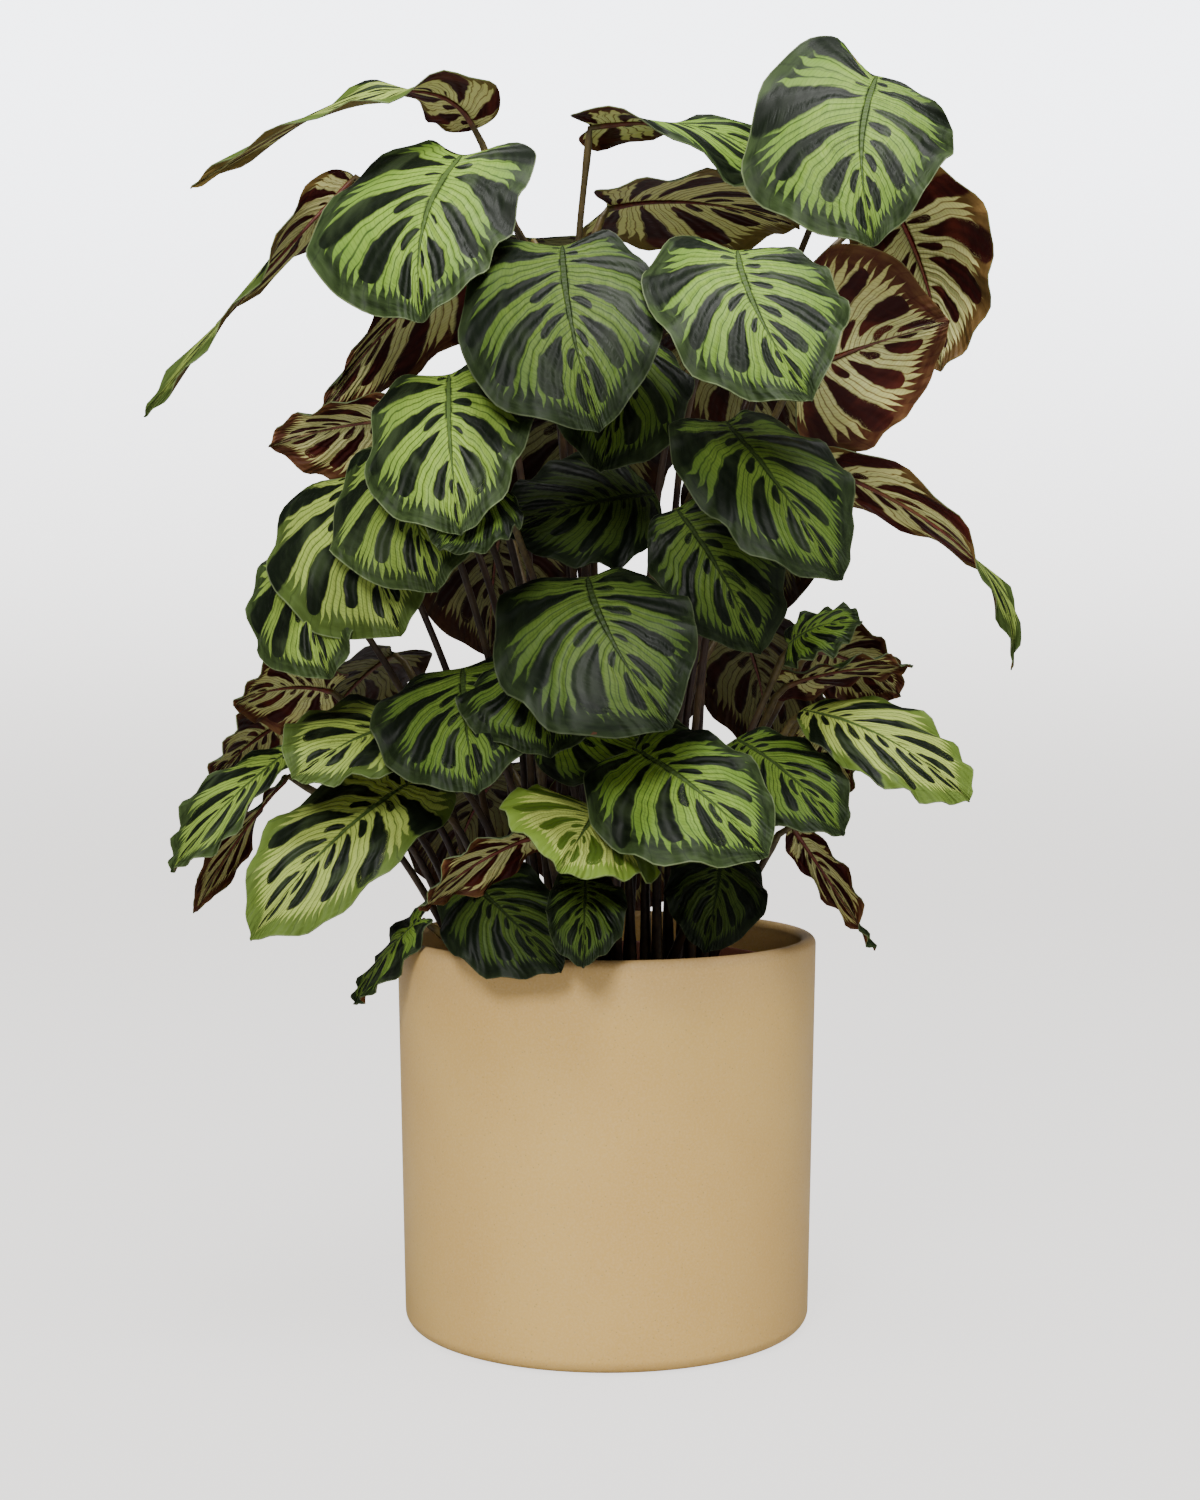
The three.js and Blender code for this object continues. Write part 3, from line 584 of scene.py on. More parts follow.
def blade_mesh(leaf):
    """Upper and under side and the thin edge between them: vertices, s, t, faces, sides."""
    inner = np.linspace(0, 1, VEIN_ROWS + 2)[1:-1]
    crowded = 0.5 - 0.5 * np.cos(np.pi * inner)
    inner = ROW_EVENNESS * inner + (1 - ROW_EVENNESS) * crowded
    columns = np.linspace(-1, 1, 2 * HALF_COLUMNS + 1)
    s_grid, t_grid = np.meshgrid(inner, columns, indexing="ij")
    s = np.concatenate([[0.0], s_grid.ravel(), [1.0]])
    t = np.concatenate([[0.0], t_grid.ravel(), [0.0]])
    middle = blade_point(leaf, s, t)
    offset = blade_normal(leaf, s, t) * BLADE_THICKNESS / 2
    count, wide = len(s), len(columns)
    at = lambda i, j: 1 + i * wide + j
    upper = []
    for j in range(wide - 1):
        upper.append((0, at(0, j), at(0, j + 1)))
        upper.append((count - 1, at(VEIN_ROWS - 1, j + 1), at(VEIN_ROWS - 1, j)))
    for i in range(VEIN_ROWS - 1):
        for j in range(wide - 1):
            upper.append((at(i, j), at(i + 1, j), at(i + 1, j + 1), at(i, j + 1)))
    under = [tuple(count + k for k in face[::-1]) for face in upper]
    left, right = ([0] + [at(i, j) for i in range(VEIN_ROWS)] + [count - 1] for j in (0, wide - 1))
    rim = [(a, count + a, count + b, b) for a, b in zip(left, left[1:])]
    rim += [(a, b, count + b, count + a) for a, b in zip(right, right[1:])]
    vertices = np.vstack([middle + offset, middle - offset])
    faces = upper + under + rim
    sides = [0] * len(upper) + [1] * len(under) + [0] * len(rim)
    return vertices, np.tile(s, 2), np.tile(t, 2), faces, sides


def stalk_mesh(leaf, path):
    """The stalk with its sheath at the soil and its thick joint under the blade, then the rib."""
    root = [path[0][0], path[0][1], SOIL_TOP - STALK_DEPTH]
    way = smooth_way([root] + path, STALK_STEPS)
    place, _, normal, _ = midrib(leaf, RIB_PLACES)
    rib_radius = np.interp(RIB_PLACES, *RIB_RADII)
    rib = place - normal * rib_radius[:, None]
    points = np.vstack([way, rib])
    length = np.concatenate([[0], np.cumsum(np.linalg.norm(np.diff(way, axis=0), axis=1))])
    share = length / length[-1]
    joint = length[-1] - JOINT_LENGTH
    stalk_radius = STALK_RADIUS * (STALK_FOOT - STALK_TAPER * share)
    stalk_radius += SHEATH_BULGE * np.exp(-((length - STALK_DEPTH) / SHEATH_REACH) ** 2)
    stalk_radius += JOINT_BULGE * np.exp(-((length - joint) / JOINT_REACH) ** 2)
    radii = np.concatenate([stalk_radius, rib_radius])
    vertices, faces = round_stem(points, radii, STALK_SIDES)
    along = np.concatenate([share * STALK_END, 1 + RIB_PLACES])
    return vertices, np.repeat(along, STALK_SIDES), faces


def make_leaf(leaf, path, materials):
    """A blade with its stalk and rib, kept inside the box of the solids."""
    blade, s, t, faces, sides = blade_mesh(leaf)
    stalk, along, stalk_faces = stalk_mesh(leaf, path)
    shift = len(blade)
    faces = faces + [tuple(k + shift for k in face) for face in stalk_faces]
    sides = sides + [2] * len(stalk_faces)
    count = shift + len(stalk)
    measures = {
        "vein": np.concatenate([s, along]),
        "across": np.concatenate([t, np.zeros(len(stalk))]),
        "leaf_number": np.full(count, leaf.index + 1),
        # The painted glow and shade of the leaf, for its materials
        "leaf_painted_glow_and_shade": np.full(count, LEAF_PAINTED_GLOW_AND_SHADE.get(leaf.index + 1, 0)),
    }
    places = np.clip(np.vstack([blade, stalk]), BOX_LOW, BOX_HIGH)
    piece = make_piece(leaf.name + "_blade_and_stalk", places, faces, materials, sides, measures)
    stand_for(piece, leaf.name)


def ring(radius, height, segments):
    """Points of a circle round Z; height is one number or one for each point."""
    turn = 2 * np.pi * np.arange(segments) / segments
    height = np.broadcast_to(height, segments)
    return np.column_stack([radius * np.cos(turn), radius * np.sin(turn), height])


def joined(low, rings, high=None):
    """Vertices and faces of rings from a low middle point to a high one, or open at the end."""
    segments = len(rings[0])
    ends = [] if high is None else [[[0, 0, high]]]
    vertices = np.vstack([[[0, 0, low]]] + rings + ends)
    at = lambda i, k: 1 + i * segments + k % segments
    top, last = len(rings) - 1, len(vertices) - 1
    faces = []
    for k in range(segments):
        faces.append((0, at(0, k + 1), at(0, k)))
        if high is not None:
            faces.append((last, at(top, k), at(top, k + 1)))
    for i in range(top):
        for k in range(segments):
            faces.append((at(i, k), at(i, k + 1), at(i + 1, k + 1), at(i + 1, k)))
    return vertices, faces


def turned(name, profile, segments, materials, sharp):
    """A piece turned round Z from (radius, height) pairs that begin and end on the axis."""
    rings = [ring(radius, height, segments) for radius, height in profile[1:-1]]
    vertices, faces = joined(profile[0][1], rings, profile[-1][1])
    return make_piece(name, vertices, faces, materials, sharp=sharp)


def arc(radius_at, height_at, radius, begin, end, steps):
    """Profile points on a circle round a middle, between two angles in degrees."""
    angles = np.radians(np.linspace(begin, end, steps + 1))
    return [(radius_at + radius * math.cos(a), height_at + radius * math.sin(a)) for a in angles]


def straight(begin, end, steps):
    """The places between two profile points, for an even mesh."""
    shares = np.linspace(0, 1, steps + 1)[1:-1]
    return [tuple(np.array(begin) + (np.array(end) - begin) * share) for share in shares]


# Shader helpers


def is_socket(value):
    return isinstance(value, bpy.types.NodeSocket)


def node(tree, kind, inputs=None, **settings):
    """A shader node with its settings, and its inputs linked or set."""
    made = tree.nodes.new(kind)
    for label, value in settings.items():
        setattr(made, label, value)
    for label, value in (inputs or {}).items():
        if is_socket(value):
            tree.links.new(value, made.inputs[label])
        else:
            made.inputs[label].default_value = value
    return made


def tree_of(*values):
    """The node tree of the sockets among some values."""
    return next(value.id_data for value in values if is_socket(value))


def sums(operation, *values, clamp=False):
    """The outcome of a Math node on sockets or numbers."""
    settings = dict(operation=operation, use_clamp=clamp)
    return node(tree_of(*values), "ShaderNodeMath", dict(enumerate(values)), **settings).outputs[0]


def times(*values):
    total = values[0]
    for value in values[1:]:
        total = sums("MULTIPLY", total, value)
    return total


def plus(*values):
    total = values[0]
    for value in values[1:]:
        total = sums("ADD", total, value)
    return total


def minus(value, less):
    return sums("SUBTRACT", value, less)


def fade(value, low, high, to_low=0.0, to_high=1.0, soft=True):
    """A value between low and high, turned to one between to_low and to_high."""
    kind = "SMOOTHSTEP" if soft else "LINEAR"
    inputs = {0: value, 1: low, 2: high, 3: to_low, 4: to_high}
    return node(tree_of(value), "ShaderNodeMapRange", inputs, interpolation_type=kind).outputs[0]


def blend(share, first, second, way="MIX"):
    """A mix of two colours."""
    inputs = {0: share, 6: first, 7: second}
    tree = tree_of(share, first, second)
    return node(tree, "ShaderNodeMix", inputs, data_type="RGBA", blend_type=way).outputs[2]


def coated(colour, *coats):
    """A colour under coats, each given as its share and its colour."""
    for share, coat in coats:
        colour = blend(share, colour, coat)
    return colour


def number_of(tree, label):
    """A number that the mesh holds for each of its vertices."""
    return node(tree, "ShaderNodeAttribute", attribute_name=label).outputs["Fac"]


def place_on(tree):
    """The place on a piece, in metres."""
    return node(tree, "ShaderNodeTexCoord").outputs["Object"]


def noise(place, scale, detail=2.0, roughness=0.5):
    inputs = {"Vector": place, "Scale": scale, "Detail": detail, "Roughness": roughness}
    return node(tree_of(place), "ShaderNodeTexNoise", inputs).outputs[0]


def surface_of(colour, roughness, specular, height, strength, distance):
    """The surface of a material, with the relief that height gives it."""
    tree = tree_of(height)
    relief = {"Height": height, "Strength": strength, "Distance": distance}
    normal = node(tree, "ShaderNodeBump", relief).outputs[0]
    inputs = {"Base Color": colour, "Roughness": roughness, "Normal": normal,
              "Specular IOR Level": specular}
    return node(tree, "ShaderNodeBsdfPrincipled", inputs).outputs[0]


def new_group(name, inputs, outputs):
    """An empty shader node group with named sockets."""
    group = bpy.data.node_groups.new(name, "ShaderNodeTree")
    for label, kind in inputs:
        group.interface.new_socket(label, in_out="INPUT", socket_type=kind)
    for label, kind in outputs:
        group.interface.new_socket(label, in_out="OUTPUT", socket_type=kind)
    return group, group.nodes.new("NodeGroupInput"), group.nodes.new("NodeGroupOutput")


def give_out(tree, result, *sockets):
    """Joins sockets to the outputs of a group, in their order."""
    for slot, socket in zip(result.inputs, sockets):
        tree.links.new(socket, slot)


def new_material(name):
    material = bpy.data.materials.new(name)
    material.use_nodes = True
    material.node_tree.nodes.clear()
    return material, material.node_tree


def shown(material, shader):
    """The material, with a shader as its surface."""
    node(material.node_tree, "ShaderNodeOutputMaterial", {"Surface": shader})
    return material


# Leaf markings


def oval(phase, out, begin, end, width, blunt):
    """One row of oval marks along the side veins, pointed inwards: a mask of the marks."""
    beside = sums("ABSOLUTE", minus(sums("FRACT", phase), 0.5))
    run = sums("DIVIDE", minus(out, begin), minus(end, begin), clamp=True)
    rise = sums("POWER", run, 0.62)
    fall = sums("POWER", minus(1.0, run), blunt)
    half = times(rise, fall, width, 1.68)
    return sums("ADD", times(minus(half, beside), 20.0), 0.4, clamp=True)


def chance_of(key):
    """A number from 0 to 1 that stays the same for one key."""
    inputs = {"W": key}
    made = node(tree_of(key), "ShaderNodeTexWhiteNoise", inputs, noise_dimensions="1D")
    return made.outputs[0]


def dark_marks(vein, out, right, leaf, phase):
    """Large ovals, shorter and broader towards the tip, and small ones between them."""
    between = sums("ADD", phase, 0.5)
    dice = []
    for row, shift in ((phase, 3.1), (between, 7.7)):
        key = plus(times(sums("FLOOR", row), 1.37), times(right, shift), times(leaf, 0.731))
        dice.append(chance_of(key))
    near_tip = fade(vein, 0.25, 0.85)
    end = plus(1.12, times(near_tip, -0.5), times(dice[0], 0.16), -0.08)
    width = times(plus(0.29, times(near_tip, 0.02)), plus(0.8, times(dice[0], 0.4)))
    begin = plus(0.015, times(dice[0], 0.09), times(near_tip, 0.04))
    large = oval(phase, out, begin, end, width, 0.36)
    end = plus(0.13, times(dice[1], 0.2))
    width = times(0.19, fade(dice[1], 0.08, 0.5))
    small = oval(between, out, 0.035, end, width, 0.4)
    return sums("MAXIMUM", large, small)


def margin_and_lines(vein, out, leaf, turns, slow, quick):
    """The dark margin, toothed inwards between the veins, and the fine lines with their rungs."""
    ends = chance_of(plus(sums("FLOOR", turns), times(leaf, 0.37)))
    stripe = minus(sums("FRACT", turns), 0.5)
    gap = times(sums("ABSOLUTE", stripe), 2.0)
    reach = plus(0.87, times(ends, 0.09), times(slow, 0.2), times(fade(vein, 0.6, 1.0), -0.16))
    begun = sums("ADD", minus(out, reach), 0.26)
    closing = times(fade(begun, 0.0, 0.26), 1.15)
    margin = fade(plus(gap, closing, -1.0), -0.12, 0.14)
    margin = sums("MAXIMUM", margin, fade(vein, 0.95, 0.99))
    lines = times(fade(gap, 0.66, 0.96), plus(0.85, times(quick, 1.2)))
    rung = sums("FRACT", plus(times(out, RUNGS), times(ends, 9.0)))
    rung = fade(sums("ABSOLUTE", minus(rung, 0.5)), 0.34, 0.48, 0.0, 0.3)
    return margin, sums("MAXIMUM", lines, rung)


def build_markings():
    """The peacock markings from a place on the blade: masks of marks, margin, lines and rib."""
    value = "NodeSocketFloat"
    masks = ("Marks", "Margin", "Lines", "Rib", "Rim", "Mottle", "Cloud", "Height")
    tree, given, result = new_group(
        "peacock_markings",
        [("Vein", value), ("Across", value), ("Leaf", value)],
        [(label, value) for label in masks],
    )
    vein, across, leaf = given.outputs[0], given.outputs[1], given.outputs[2]
    out = sums("ABSOLUTE", across)
    right = sums("GREATER_THAN", across, 0.0)
    spot = {0: vein, 1: across, 2: times(leaf, 3.7)}
    spot = node(tree, "ShaderNodeCombineXYZ", spot).outputs[0]
    slow = minus(noise(spot, 2.6), 0.5)
    quick = minus(noise(spot, 15.0, 3.0), 0.5)
    lean = times(out, vein, vein, minus(vein, 1.0))
    smooth = plus(vein, lean, times(slow, 0.07))
    veins = plus(smooth, times(quick, 0.01))

    chance = sums("FRACT", times(leaf, LEAF_SHUFFLE))
    count = plus(OVALS, times(chance, MORE_OVALS))
    phase = plus(times(veins, count), times(right, 0.45), times(chance, 5.0))
    turns = times(smooth, count, LINES_TO_AN_OVAL)
    turns = plus(turns, times(quick, 0.16))
    marks = dark_marks(vein, out, right, leaf, phase)
    margin, lines = margin_and_lines(vein, out, leaf, turns, slow, quick)

    rib_half = plus(0.032, times(vein, -0.016))
    rib = fade(minus(out, rib_half), -0.008, 0.006, 1.0, 0.0)
    beside_rib = minus(out, times(rib_half, 1.7))
    shade = times(fade(beside_rib, -0.02, 0.01, 1.0, 0.0), fade(quick, -0.08, 0.06))
    marks = sums("MAXIMUM", marks, shade)
    rim = fade(out, 0.982, 0.994)
    fold = times(sums("COSINE", times(veins, count, FOLD_TURN)), 0.2)
    swell = times(sums("COSINE", times(phase, FULL_TURN)), 0.6, out)
    height = plus(fold, swell, times(rib, -1.2), times(quick, 0.3))
    give_out(tree, result, marks, margin, lines, rib, rim, quick, slow, height)
    return tree


def ground_colour(colours, get, out, painted_glow_share):
    """The pale ground between the marks, deeper towards the edge, with its fine lines, and painted
    glow that pales it on the palest leaves.
    """
    return coated(
        colours["ground"],
        (plus(0.5, times(get["Mottle"], 1.3)), colours["ground_deep"]),
        (times(fade(out, 0.25, 0.95), 0.7), colours["ground_outer"]),
        (times(painted_glow_share, 0.85), colours["pale"]),
        (times(get["Lines"], 0.85), colours["lines"]),
    )


def margin_colour(colours, get, out, painted_glow_share):
    """The dark margin, lighter in patches and at the very edge, with painted glow that pales it on
    the palest leaves.
    """
    share = plus(0.25, times(get["Mottle"], 2.0), times(fade(out, 0.86, 1.0), 0.35))
    margin = blend(share, colours["margin"], colours["margin_pale"])
    return blend(times(painted_glow_share, painted_glow_share, 0.9), margin, colours["pale_margin"])


def mark_colour(colours, get, glow_and_shade):
    """The ovals, with a painted sheen in patches, and lighter on the palest leaves by painted glow.
    """
    # Painted sheen in patches on the ovals
    painted_sheen = plus(fade(get["Cloud"], -0.02, 0.2), times(get["Mottle"], 0.8))
    dark = blend(painted_sheen, colours["marks"], colours["marks_painted_sheen"])
    return blend(fade(glow_and_shade, 0.82, 1.0, 0.0, 0.8), dark, colours["pale_mark"])


def leaf_side(name, markings, colours, see_through, back_leaf_painted_shade):
    """One side of the blades: the markings in its own colours with painted glow and painted shade,
    and the light let through.
    """
    material, tree = new_material(name)
    vein, across = number_of(tree, "vein"), number_of(tree, "across")
    leaf, glow_and_shade = number_of(tree, "leaf_number"), number_of(tree, "leaf_painted_glow_and_shade")
    inputs = {0: vein, 1: across, 2: leaf}
    get = node(tree, "ShaderNodeGroup", inputs, node_tree=markings).outputs
    out = sums("ABSOLUTE", across)
    # Painted glow: a leaf's value above 0 pales its colours, in place of light through the blade
    # and sheen
    painted_glow_share = fade(glow_and_shade, 0.0, 1.0, soft=False)
    ground = ground_colour(colours, get, out, painted_glow_share)
    # Painted shade: a leaf's value below 0 darkens it towards deep
    painted_shade_share = fade(glow_and_shade, -1.0, 0.0, 0.78, 0.0, soft=False)
    # Painted shade on the undersides of the leaves at the back
    inner = fade(leaf, BACK_LEAVES - 1, BACK_LEAVES, 0.0, back_leaf_painted_shade, soft=False)
    skin = coated(
        ground,
        (get["Margin"], margin_colour(colours, get, out, painted_glow_share)),
        (get["Marks"], mark_colour(colours, get, glow_and_shade)),
        (get["Rib"], colours["rib"]),
        (times(get["Rim"], 0.5), colours["rim"]),
        (painted_shade_share, colours["deep"]),
        (inner, colours["deep"]),
    )
    roughness = plus(0.5, times(get["Mottle"], 0.25), times(get["Marks"], -0.06))
    surface = surface_of(skin, roughness, LEAF_SPECULAR, get["Height"], 0.9, LEAF_RELIEF)
    glow = blend(GLOW_TINT, skin, colours["through"], "MULTIPLY")
    behind = node(tree, "ShaderNodeBsdfTranslucent", {"Color": glow}).outputs[0]
    mixed = node(tree, "ShaderNodeMixShader", {0: see_through, 1: surface, 2: behind})
    return shown(material, mixed.outputs[0])


def stalk_material():
    """Maroon stalks, olive at the soil and the joint, and the rib that fades to tan."""
    material, tree = new_material("leaf_stalk_skin")
    along, leaf = number_of(tree, "vein"), number_of(tree, "leaf_number")
    place = place_on(tree)
    fine = noise(place, 420.0, 3.0)
    coarse = noise(place, 40.0, 2.0)
    shade = fade(sums("FRACT", times(leaf, 0.37)), 0.0, 1.0, 0.0, 0.25)
    skin = coated(
        srgb(84, 72, 42),
        (fade(along, 0.02, 0.22), srgb(46, 25, 22)),
        (fade(along, 0.78, 0.985), srgb(90, 78, 38)),
        (fade(along, 1.0, 1.06), srgb(112, 48, 38)),
        (fade(along, 1.5, 1.95), srgb(126, 104, 62)),
        (fade(fine, 0.35, 0.7, 0.0, 0.5), srgb(40, 24, 22)),
        (fade(coarse, 0.45, 0.7, 0.0, 0.35), srgb(120, 96, 56)),
        (shade, srgb(70, 62, 36)),
    )
    roughness = fade(fine, 0.3, 0.8, 0.42, 0.6)
    surface = surface_of(skin, roughness, 0.4, fine, 0.3, 0.0003)
    return shown(material, surface)


# Pots and soil


def build_speckle():
    """Fine specks and cloudy patches for a moulded or glazed surface."""
    value = "NodeSocketFloat"
    tree, given, result = new_group(
        "fine_speckle",
        [("Place", "NodeSocketVector"), ("Speck scale", value), ("Cloud scale", value)],
        [("Specks", value), ("Clouds", value), ("Grain", value)],
    )
    place, speck, cloud = given.outputs[0], given.outputs[1], given.outputs[2]
    cells = node(tree, "ShaderNodeTexVoronoi", {"Vector": place, "Scale": speck})
    pick = node(tree, "ShaderNodeTexWhiteNoise", {"Vector": cells.outputs["Position"]})
    near = fade(cells.outputs["Distance"], 0.12, 0.3, 1.0, 0.0)
    specks = times(near, fade(pick.outputs[0], 0.72, 0.95))
    clouds = noise(place, cloud, 3.0)
    grain = noise(place, times(speck, 1.6), 2.0)
    give_out(tree, result, specks, clouds, grain)
    return tree


def glaze_material(speckle):
    """Beige glaze with cloudy patches and fine specks, with painted shade that makes it darker and
    browner towards the rim.
    """
    material, tree = new_material("beige_stoneware_glaze")
    place = place_on(tree)
    inputs = {0: place, 1: 520.0, 2: 9.0}
    specks, clouds, grain = node(tree, "ShaderNodeGroup", inputs, node_tree=speckle).outputs
    height = node(tree, "ShaderNodeSeparateXYZ", {0: place}).outputs[2]
    body = coated(
        srgb(222, 183, 102),
        (fade(clouds, 0.3, 0.7), srgb(214, 173, 94)),
        # Painted shade of the overhanging leaves, darker and browner towards the rim
        (fade(height, 0.19, 0.226, 0.0, 0.35), srgb(184, 152, 106)),
        (fade(height, 0.224, 0.231, 0.0, 0.45), srgb(160, 132, 96)),
        (times(specks, 0.4), srgb(140, 108, 66)),
        (fade(grain, 0.35, 0.75, 0.0, 0.16), srgb(236, 214, 176)),
    )
    relief = plus(times(grain, 0.6), times(clouds, 2.0), times(specks, -0.6))
    roughness = fade(clouds, 0.25, 0.75, 0.4, 0.5)
    surface = surface_of(body, roughness, 0.45, relief, 0.16, 0.0004)
    return shown(material, surface)


def liner_material(speckle):
    """Thin brown plastic with patches of dust."""
    material, tree = new_material("brown_nursery_pot_plastic")
    place = place_on(tree)
    inputs = {0: place, 1: 900.0, 2: 14.0}
    specks, clouds, grain = node(tree, "ShaderNodeGroup", inputs, node_tree=speckle).outputs
    body = coated(
        srgb(112, 62, 44),
        (fade(grain, 0.3, 0.7), srgb(96, 52, 38)),
        (fade(clouds, 0.45, 0.75, 0.0, 0.45), srgb(120, 92, 72)),
    )
    roughness = fade(specks, 0.0, 1.0, 0.45, 0.6)
    surface = surface_of(body, roughness, 0.45, grain, 0.2, 0.0003)
    return shown(material, surface)


def soil_material():
    """Dark earth, bark and pale stone, by the kind of each crumb."""
    material, tree = new_material("potting_soil_and_bark")
    place = place_on(tree)
    kind = number_of(tree, "crumb")
    grit = noise(place, 330.0, 5.0, 0.65)
    clod = noise(place, 60.0, 4.0, 0.6)
    rough = fade(grit, 0.3, 0.7)
    moist = (fade(clod, 0.4, 0.65, 0.0, 0.6), srgb(50, 37, 28))
    earth = coated(srgb(38, 29, 23), (rough, srgb(74, 57, 43)), moist)
    bark = blend(rough, srgb(82, 54, 36), srgb(130, 93, 62))
    stone = blend(rough, srgb(190, 186, 176), srgb(226, 223, 214))
    body = coated(earth, (fade(kind, 0.4, 0.6), bark), (fade(kind, 1.4, 1.6), stone))
    roughness = fade(grit, 0.2, 0.8, 0.7, 0.95)
    surface = surface_of(body, roughness, 0.3, grit, 0.8, 0.002)
    return shown(material, surface)


def make_cover_pot(material):
    """Its profile from under the foot over the lip to the floor inside, each stretch in steps."""
    lip, inner = POT_WALL / 2, POT_FOOT_RADIUS - POT_WALL
    outer_foot, outer_rim = (POT_FOOT_RADIUS, FOOT_ROUNDING), (POT_RIM_RADIUS, POT_HEIGHT - lip)
    inner_rim = (POT_RIM_RADIUS - POT_WALL, POT_HEIGHT - lip)
    inner_foot = (inner, POT_FLOOR + FOOT_ROUNDING)
    profile = [(0, 0), *straight((0, 0), (POT_FOOT_RADIUS - FOOT_ROUNDING, 0), 4)]
    profile += arc(POT_FOOT_RADIUS - FOOT_ROUNDING, FOOT_ROUNDING, FOOT_ROUNDING, -90, 0, 10)
    profile += straight(outer_foot, outer_rim, 24)
    profile += arc(POT_RIM_RADIUS - lip, POT_HEIGHT - lip, lip, 0, 180, 16)
    profile += straight(inner_rim, inner_foot, 16)
    profile += arc(inner - FOOT_ROUNDING, POT_FLOOR + FOOT_ROUNDING, FOOT_ROUNDING, 0, -90, 6)
    profile += [(0, POT_FLOOR)]
    pot = turned("glazed_cover_pot", profile, POT_SEGMENTS, [material], sharp=60)
    stand_for(pot, "cover_pot")


def make_nursery_pot(material):
    """A thin tapered pot with a rolled rim, on the floor of the cover pot."""
    floor = POT_FLOOR + GAP
    top = floor + LINER_HEIGHT
    wall, inner_wall = LINER_RIM_RADIUS, LINER_RIM_RADIUS - LINER_WALL
    base, inner_base = LINER_BASE_RADIUS, LINER_BASE_RADIUS - LINER_WALL
    profile = [(0, floor), (base - 1, floor), (base, floor + 1)]
    profile += straight((base, floor + 1), (wall, top + LINER_RIM[0][1]), 10)
    profile += [(wall + out, top + up) for out, up in LINER_RIM] + [(inner_wall, top - 0.6)]
    profile += straight((inner_wall, top - 0.6), (inner_base, floor + 2), 8)
    profile += [(inner_base, floor + LINER_WALL), (0, floor + LINER_WALL)]
    liner = turned("brown_nursery_pot", profile, LINER_SEGMENTS, [material], sharp=50)
    stand_for(liner, "nursery_pot")


def crumb_shape(chance, size, flatness):
    """A rough lump: the corners and face middles of a box, pulled about and tilted."""
    corners = np.array([[x, y, z] for x in (-1, 1) for y in (-1, 1) for z in (-1, 1)], float)
    middles = np.array([[1, 0, 0], [-1, 0, 0], [0, 1, 0], [0, -1, 0], [0, 0, 1], [0, 0, -1]], float)
    points = np.vstack([corners * CRUMB_CORNERS, middles])
    points *= chance.uniform(*CRUMB_UNEVENNESS, (len(points), 1))
    points *= [size, size * chance.uniform(*CRUMB_NARROWNESS), size * flatness]
    tilt, lean = chance.uniform(-CRUMB_TILT, CRUMB_TILT), chance.uniform(-CRUMB_TILT, CRUMB_TILT)
    turn = np.array(Euler((tilt, lean, chance.uniform(0, 2 * np.pi))).to_matrix())
    sides = [(8, (4, 6, 7, 5)), (9, (0, 1, 3, 2)), (10, (2, 3, 7, 6)),
             (11, (0, 4, 5, 1)), (12, (1, 5, 7, 3)), (13, (0, 2, 6, 4))]
    faces = [(middle, square[k], square[(k + 1) % 4]) for middle, square in sides for k in range(4)]
    return points @ turn.T, faces


def soil_height(x, y, radius):
    """The crown of the soil and its uneven surface."""
    crown = SOIL_TOP + SOIL_CROWN * np.clip(1 - (radius / SOIL_CROWN_RADIUS) ** 2, 0, 1)
    lumps = np.sin(x / 6.1 + 1.3 * np.sin(y / 9.0)) * np.sin(y / 7.3 + 0.8 * np.sin(x / 5.0))
    grain = np.sin(x / 2.3 + y / 3.1) * np.sin(y / 2.1 - x / 4.0)
    return crown - SOIL_SETTLING + (SOIL_LUMP * lumps + SOIL_GRAIN * grain)


def soil_body(base, edge, floor):
    """The soil without its crumbs, from the flat underside to the uneven crown."""
    inset, drop = SOIL_BEVEL
    rings = [ring(base, floor, SOIL_SEGMENTS), ring(edge, SOIL_TOP - drop, SOIL_SEGMENTS)]
    for radius in np.linspace(edge - inset, 2.5, SOIL_RINGS):
        level = ring(radius, 0, SOIL_SEGMENTS)
        level[:, 2] = soil_height(level[:, 0], level[:, 1], radius)
        rings.append(level)
    return joined(floor, rings, soil_height(0.0, 0.0, 0.0))


def crumbs(reach):
    """Crumbs of earth, bark and stone strewn on the soil: points, faces and kind of each."""
    chance = np.random.default_rng(SEED)
    for _ in range(CRUMB_COUNT):
        radius = reach * math.sqrt(chance.uniform(0, 1))
        angle = chance.uniform(0, 2 * np.pi)
        x, y = radius * math.cos(angle), radius * math.sin(angle)
        kind = chance.choice([0, 1, 2], p=CRUMB_SHARES)
        size = chance.uniform(*STONE_SIZES) if kind == 2 else chance.uniform(*CRUMB_SIZES)
        points, faces = crumb_shape(chance, size, chance.uniform(*CRUMB_FLATNESS))
        yield points + [x, y, float(soil_height(x, y, radius)) + 0.2 * size], faces, kind


def make_soil(material):
    """The soil inside the nursery pot, a little clear of its wall."""
    floor = POT_FLOOR + LINER_WALL + 2 * GAP
    slope = (LINER_RIM_RADIUS - LINER_BASE_RADIUS) / LINER_HEIGHT
    base = LINER_BASE_RADIUS - LINER_WALL - 2 * GAP
    edge = base + slope * (SOIL_TOP - SOIL_BEVEL[1] - floor)
    body, faces = soil_body(base, edge, floor)
    lumps, kinds, count = [body], [np.zeros(len(body))], len(body)
    for points, crumb_faces, kind in crumbs(edge - CRUMB_INSET):
        lumps.append(points)
        kinds.append(np.full(len(points), kind))
        faces += [tuple(k + count for k in face) for face in crumb_faces]
        count += len(points)
    soil = make_piece("potting_soil_with_bark", np.vstack(lumps), faces, [material],
                      measures={"crumb": np.concatenate(kinds)}, sharp=35)
    stand_for(soil, "soil")


# Studio


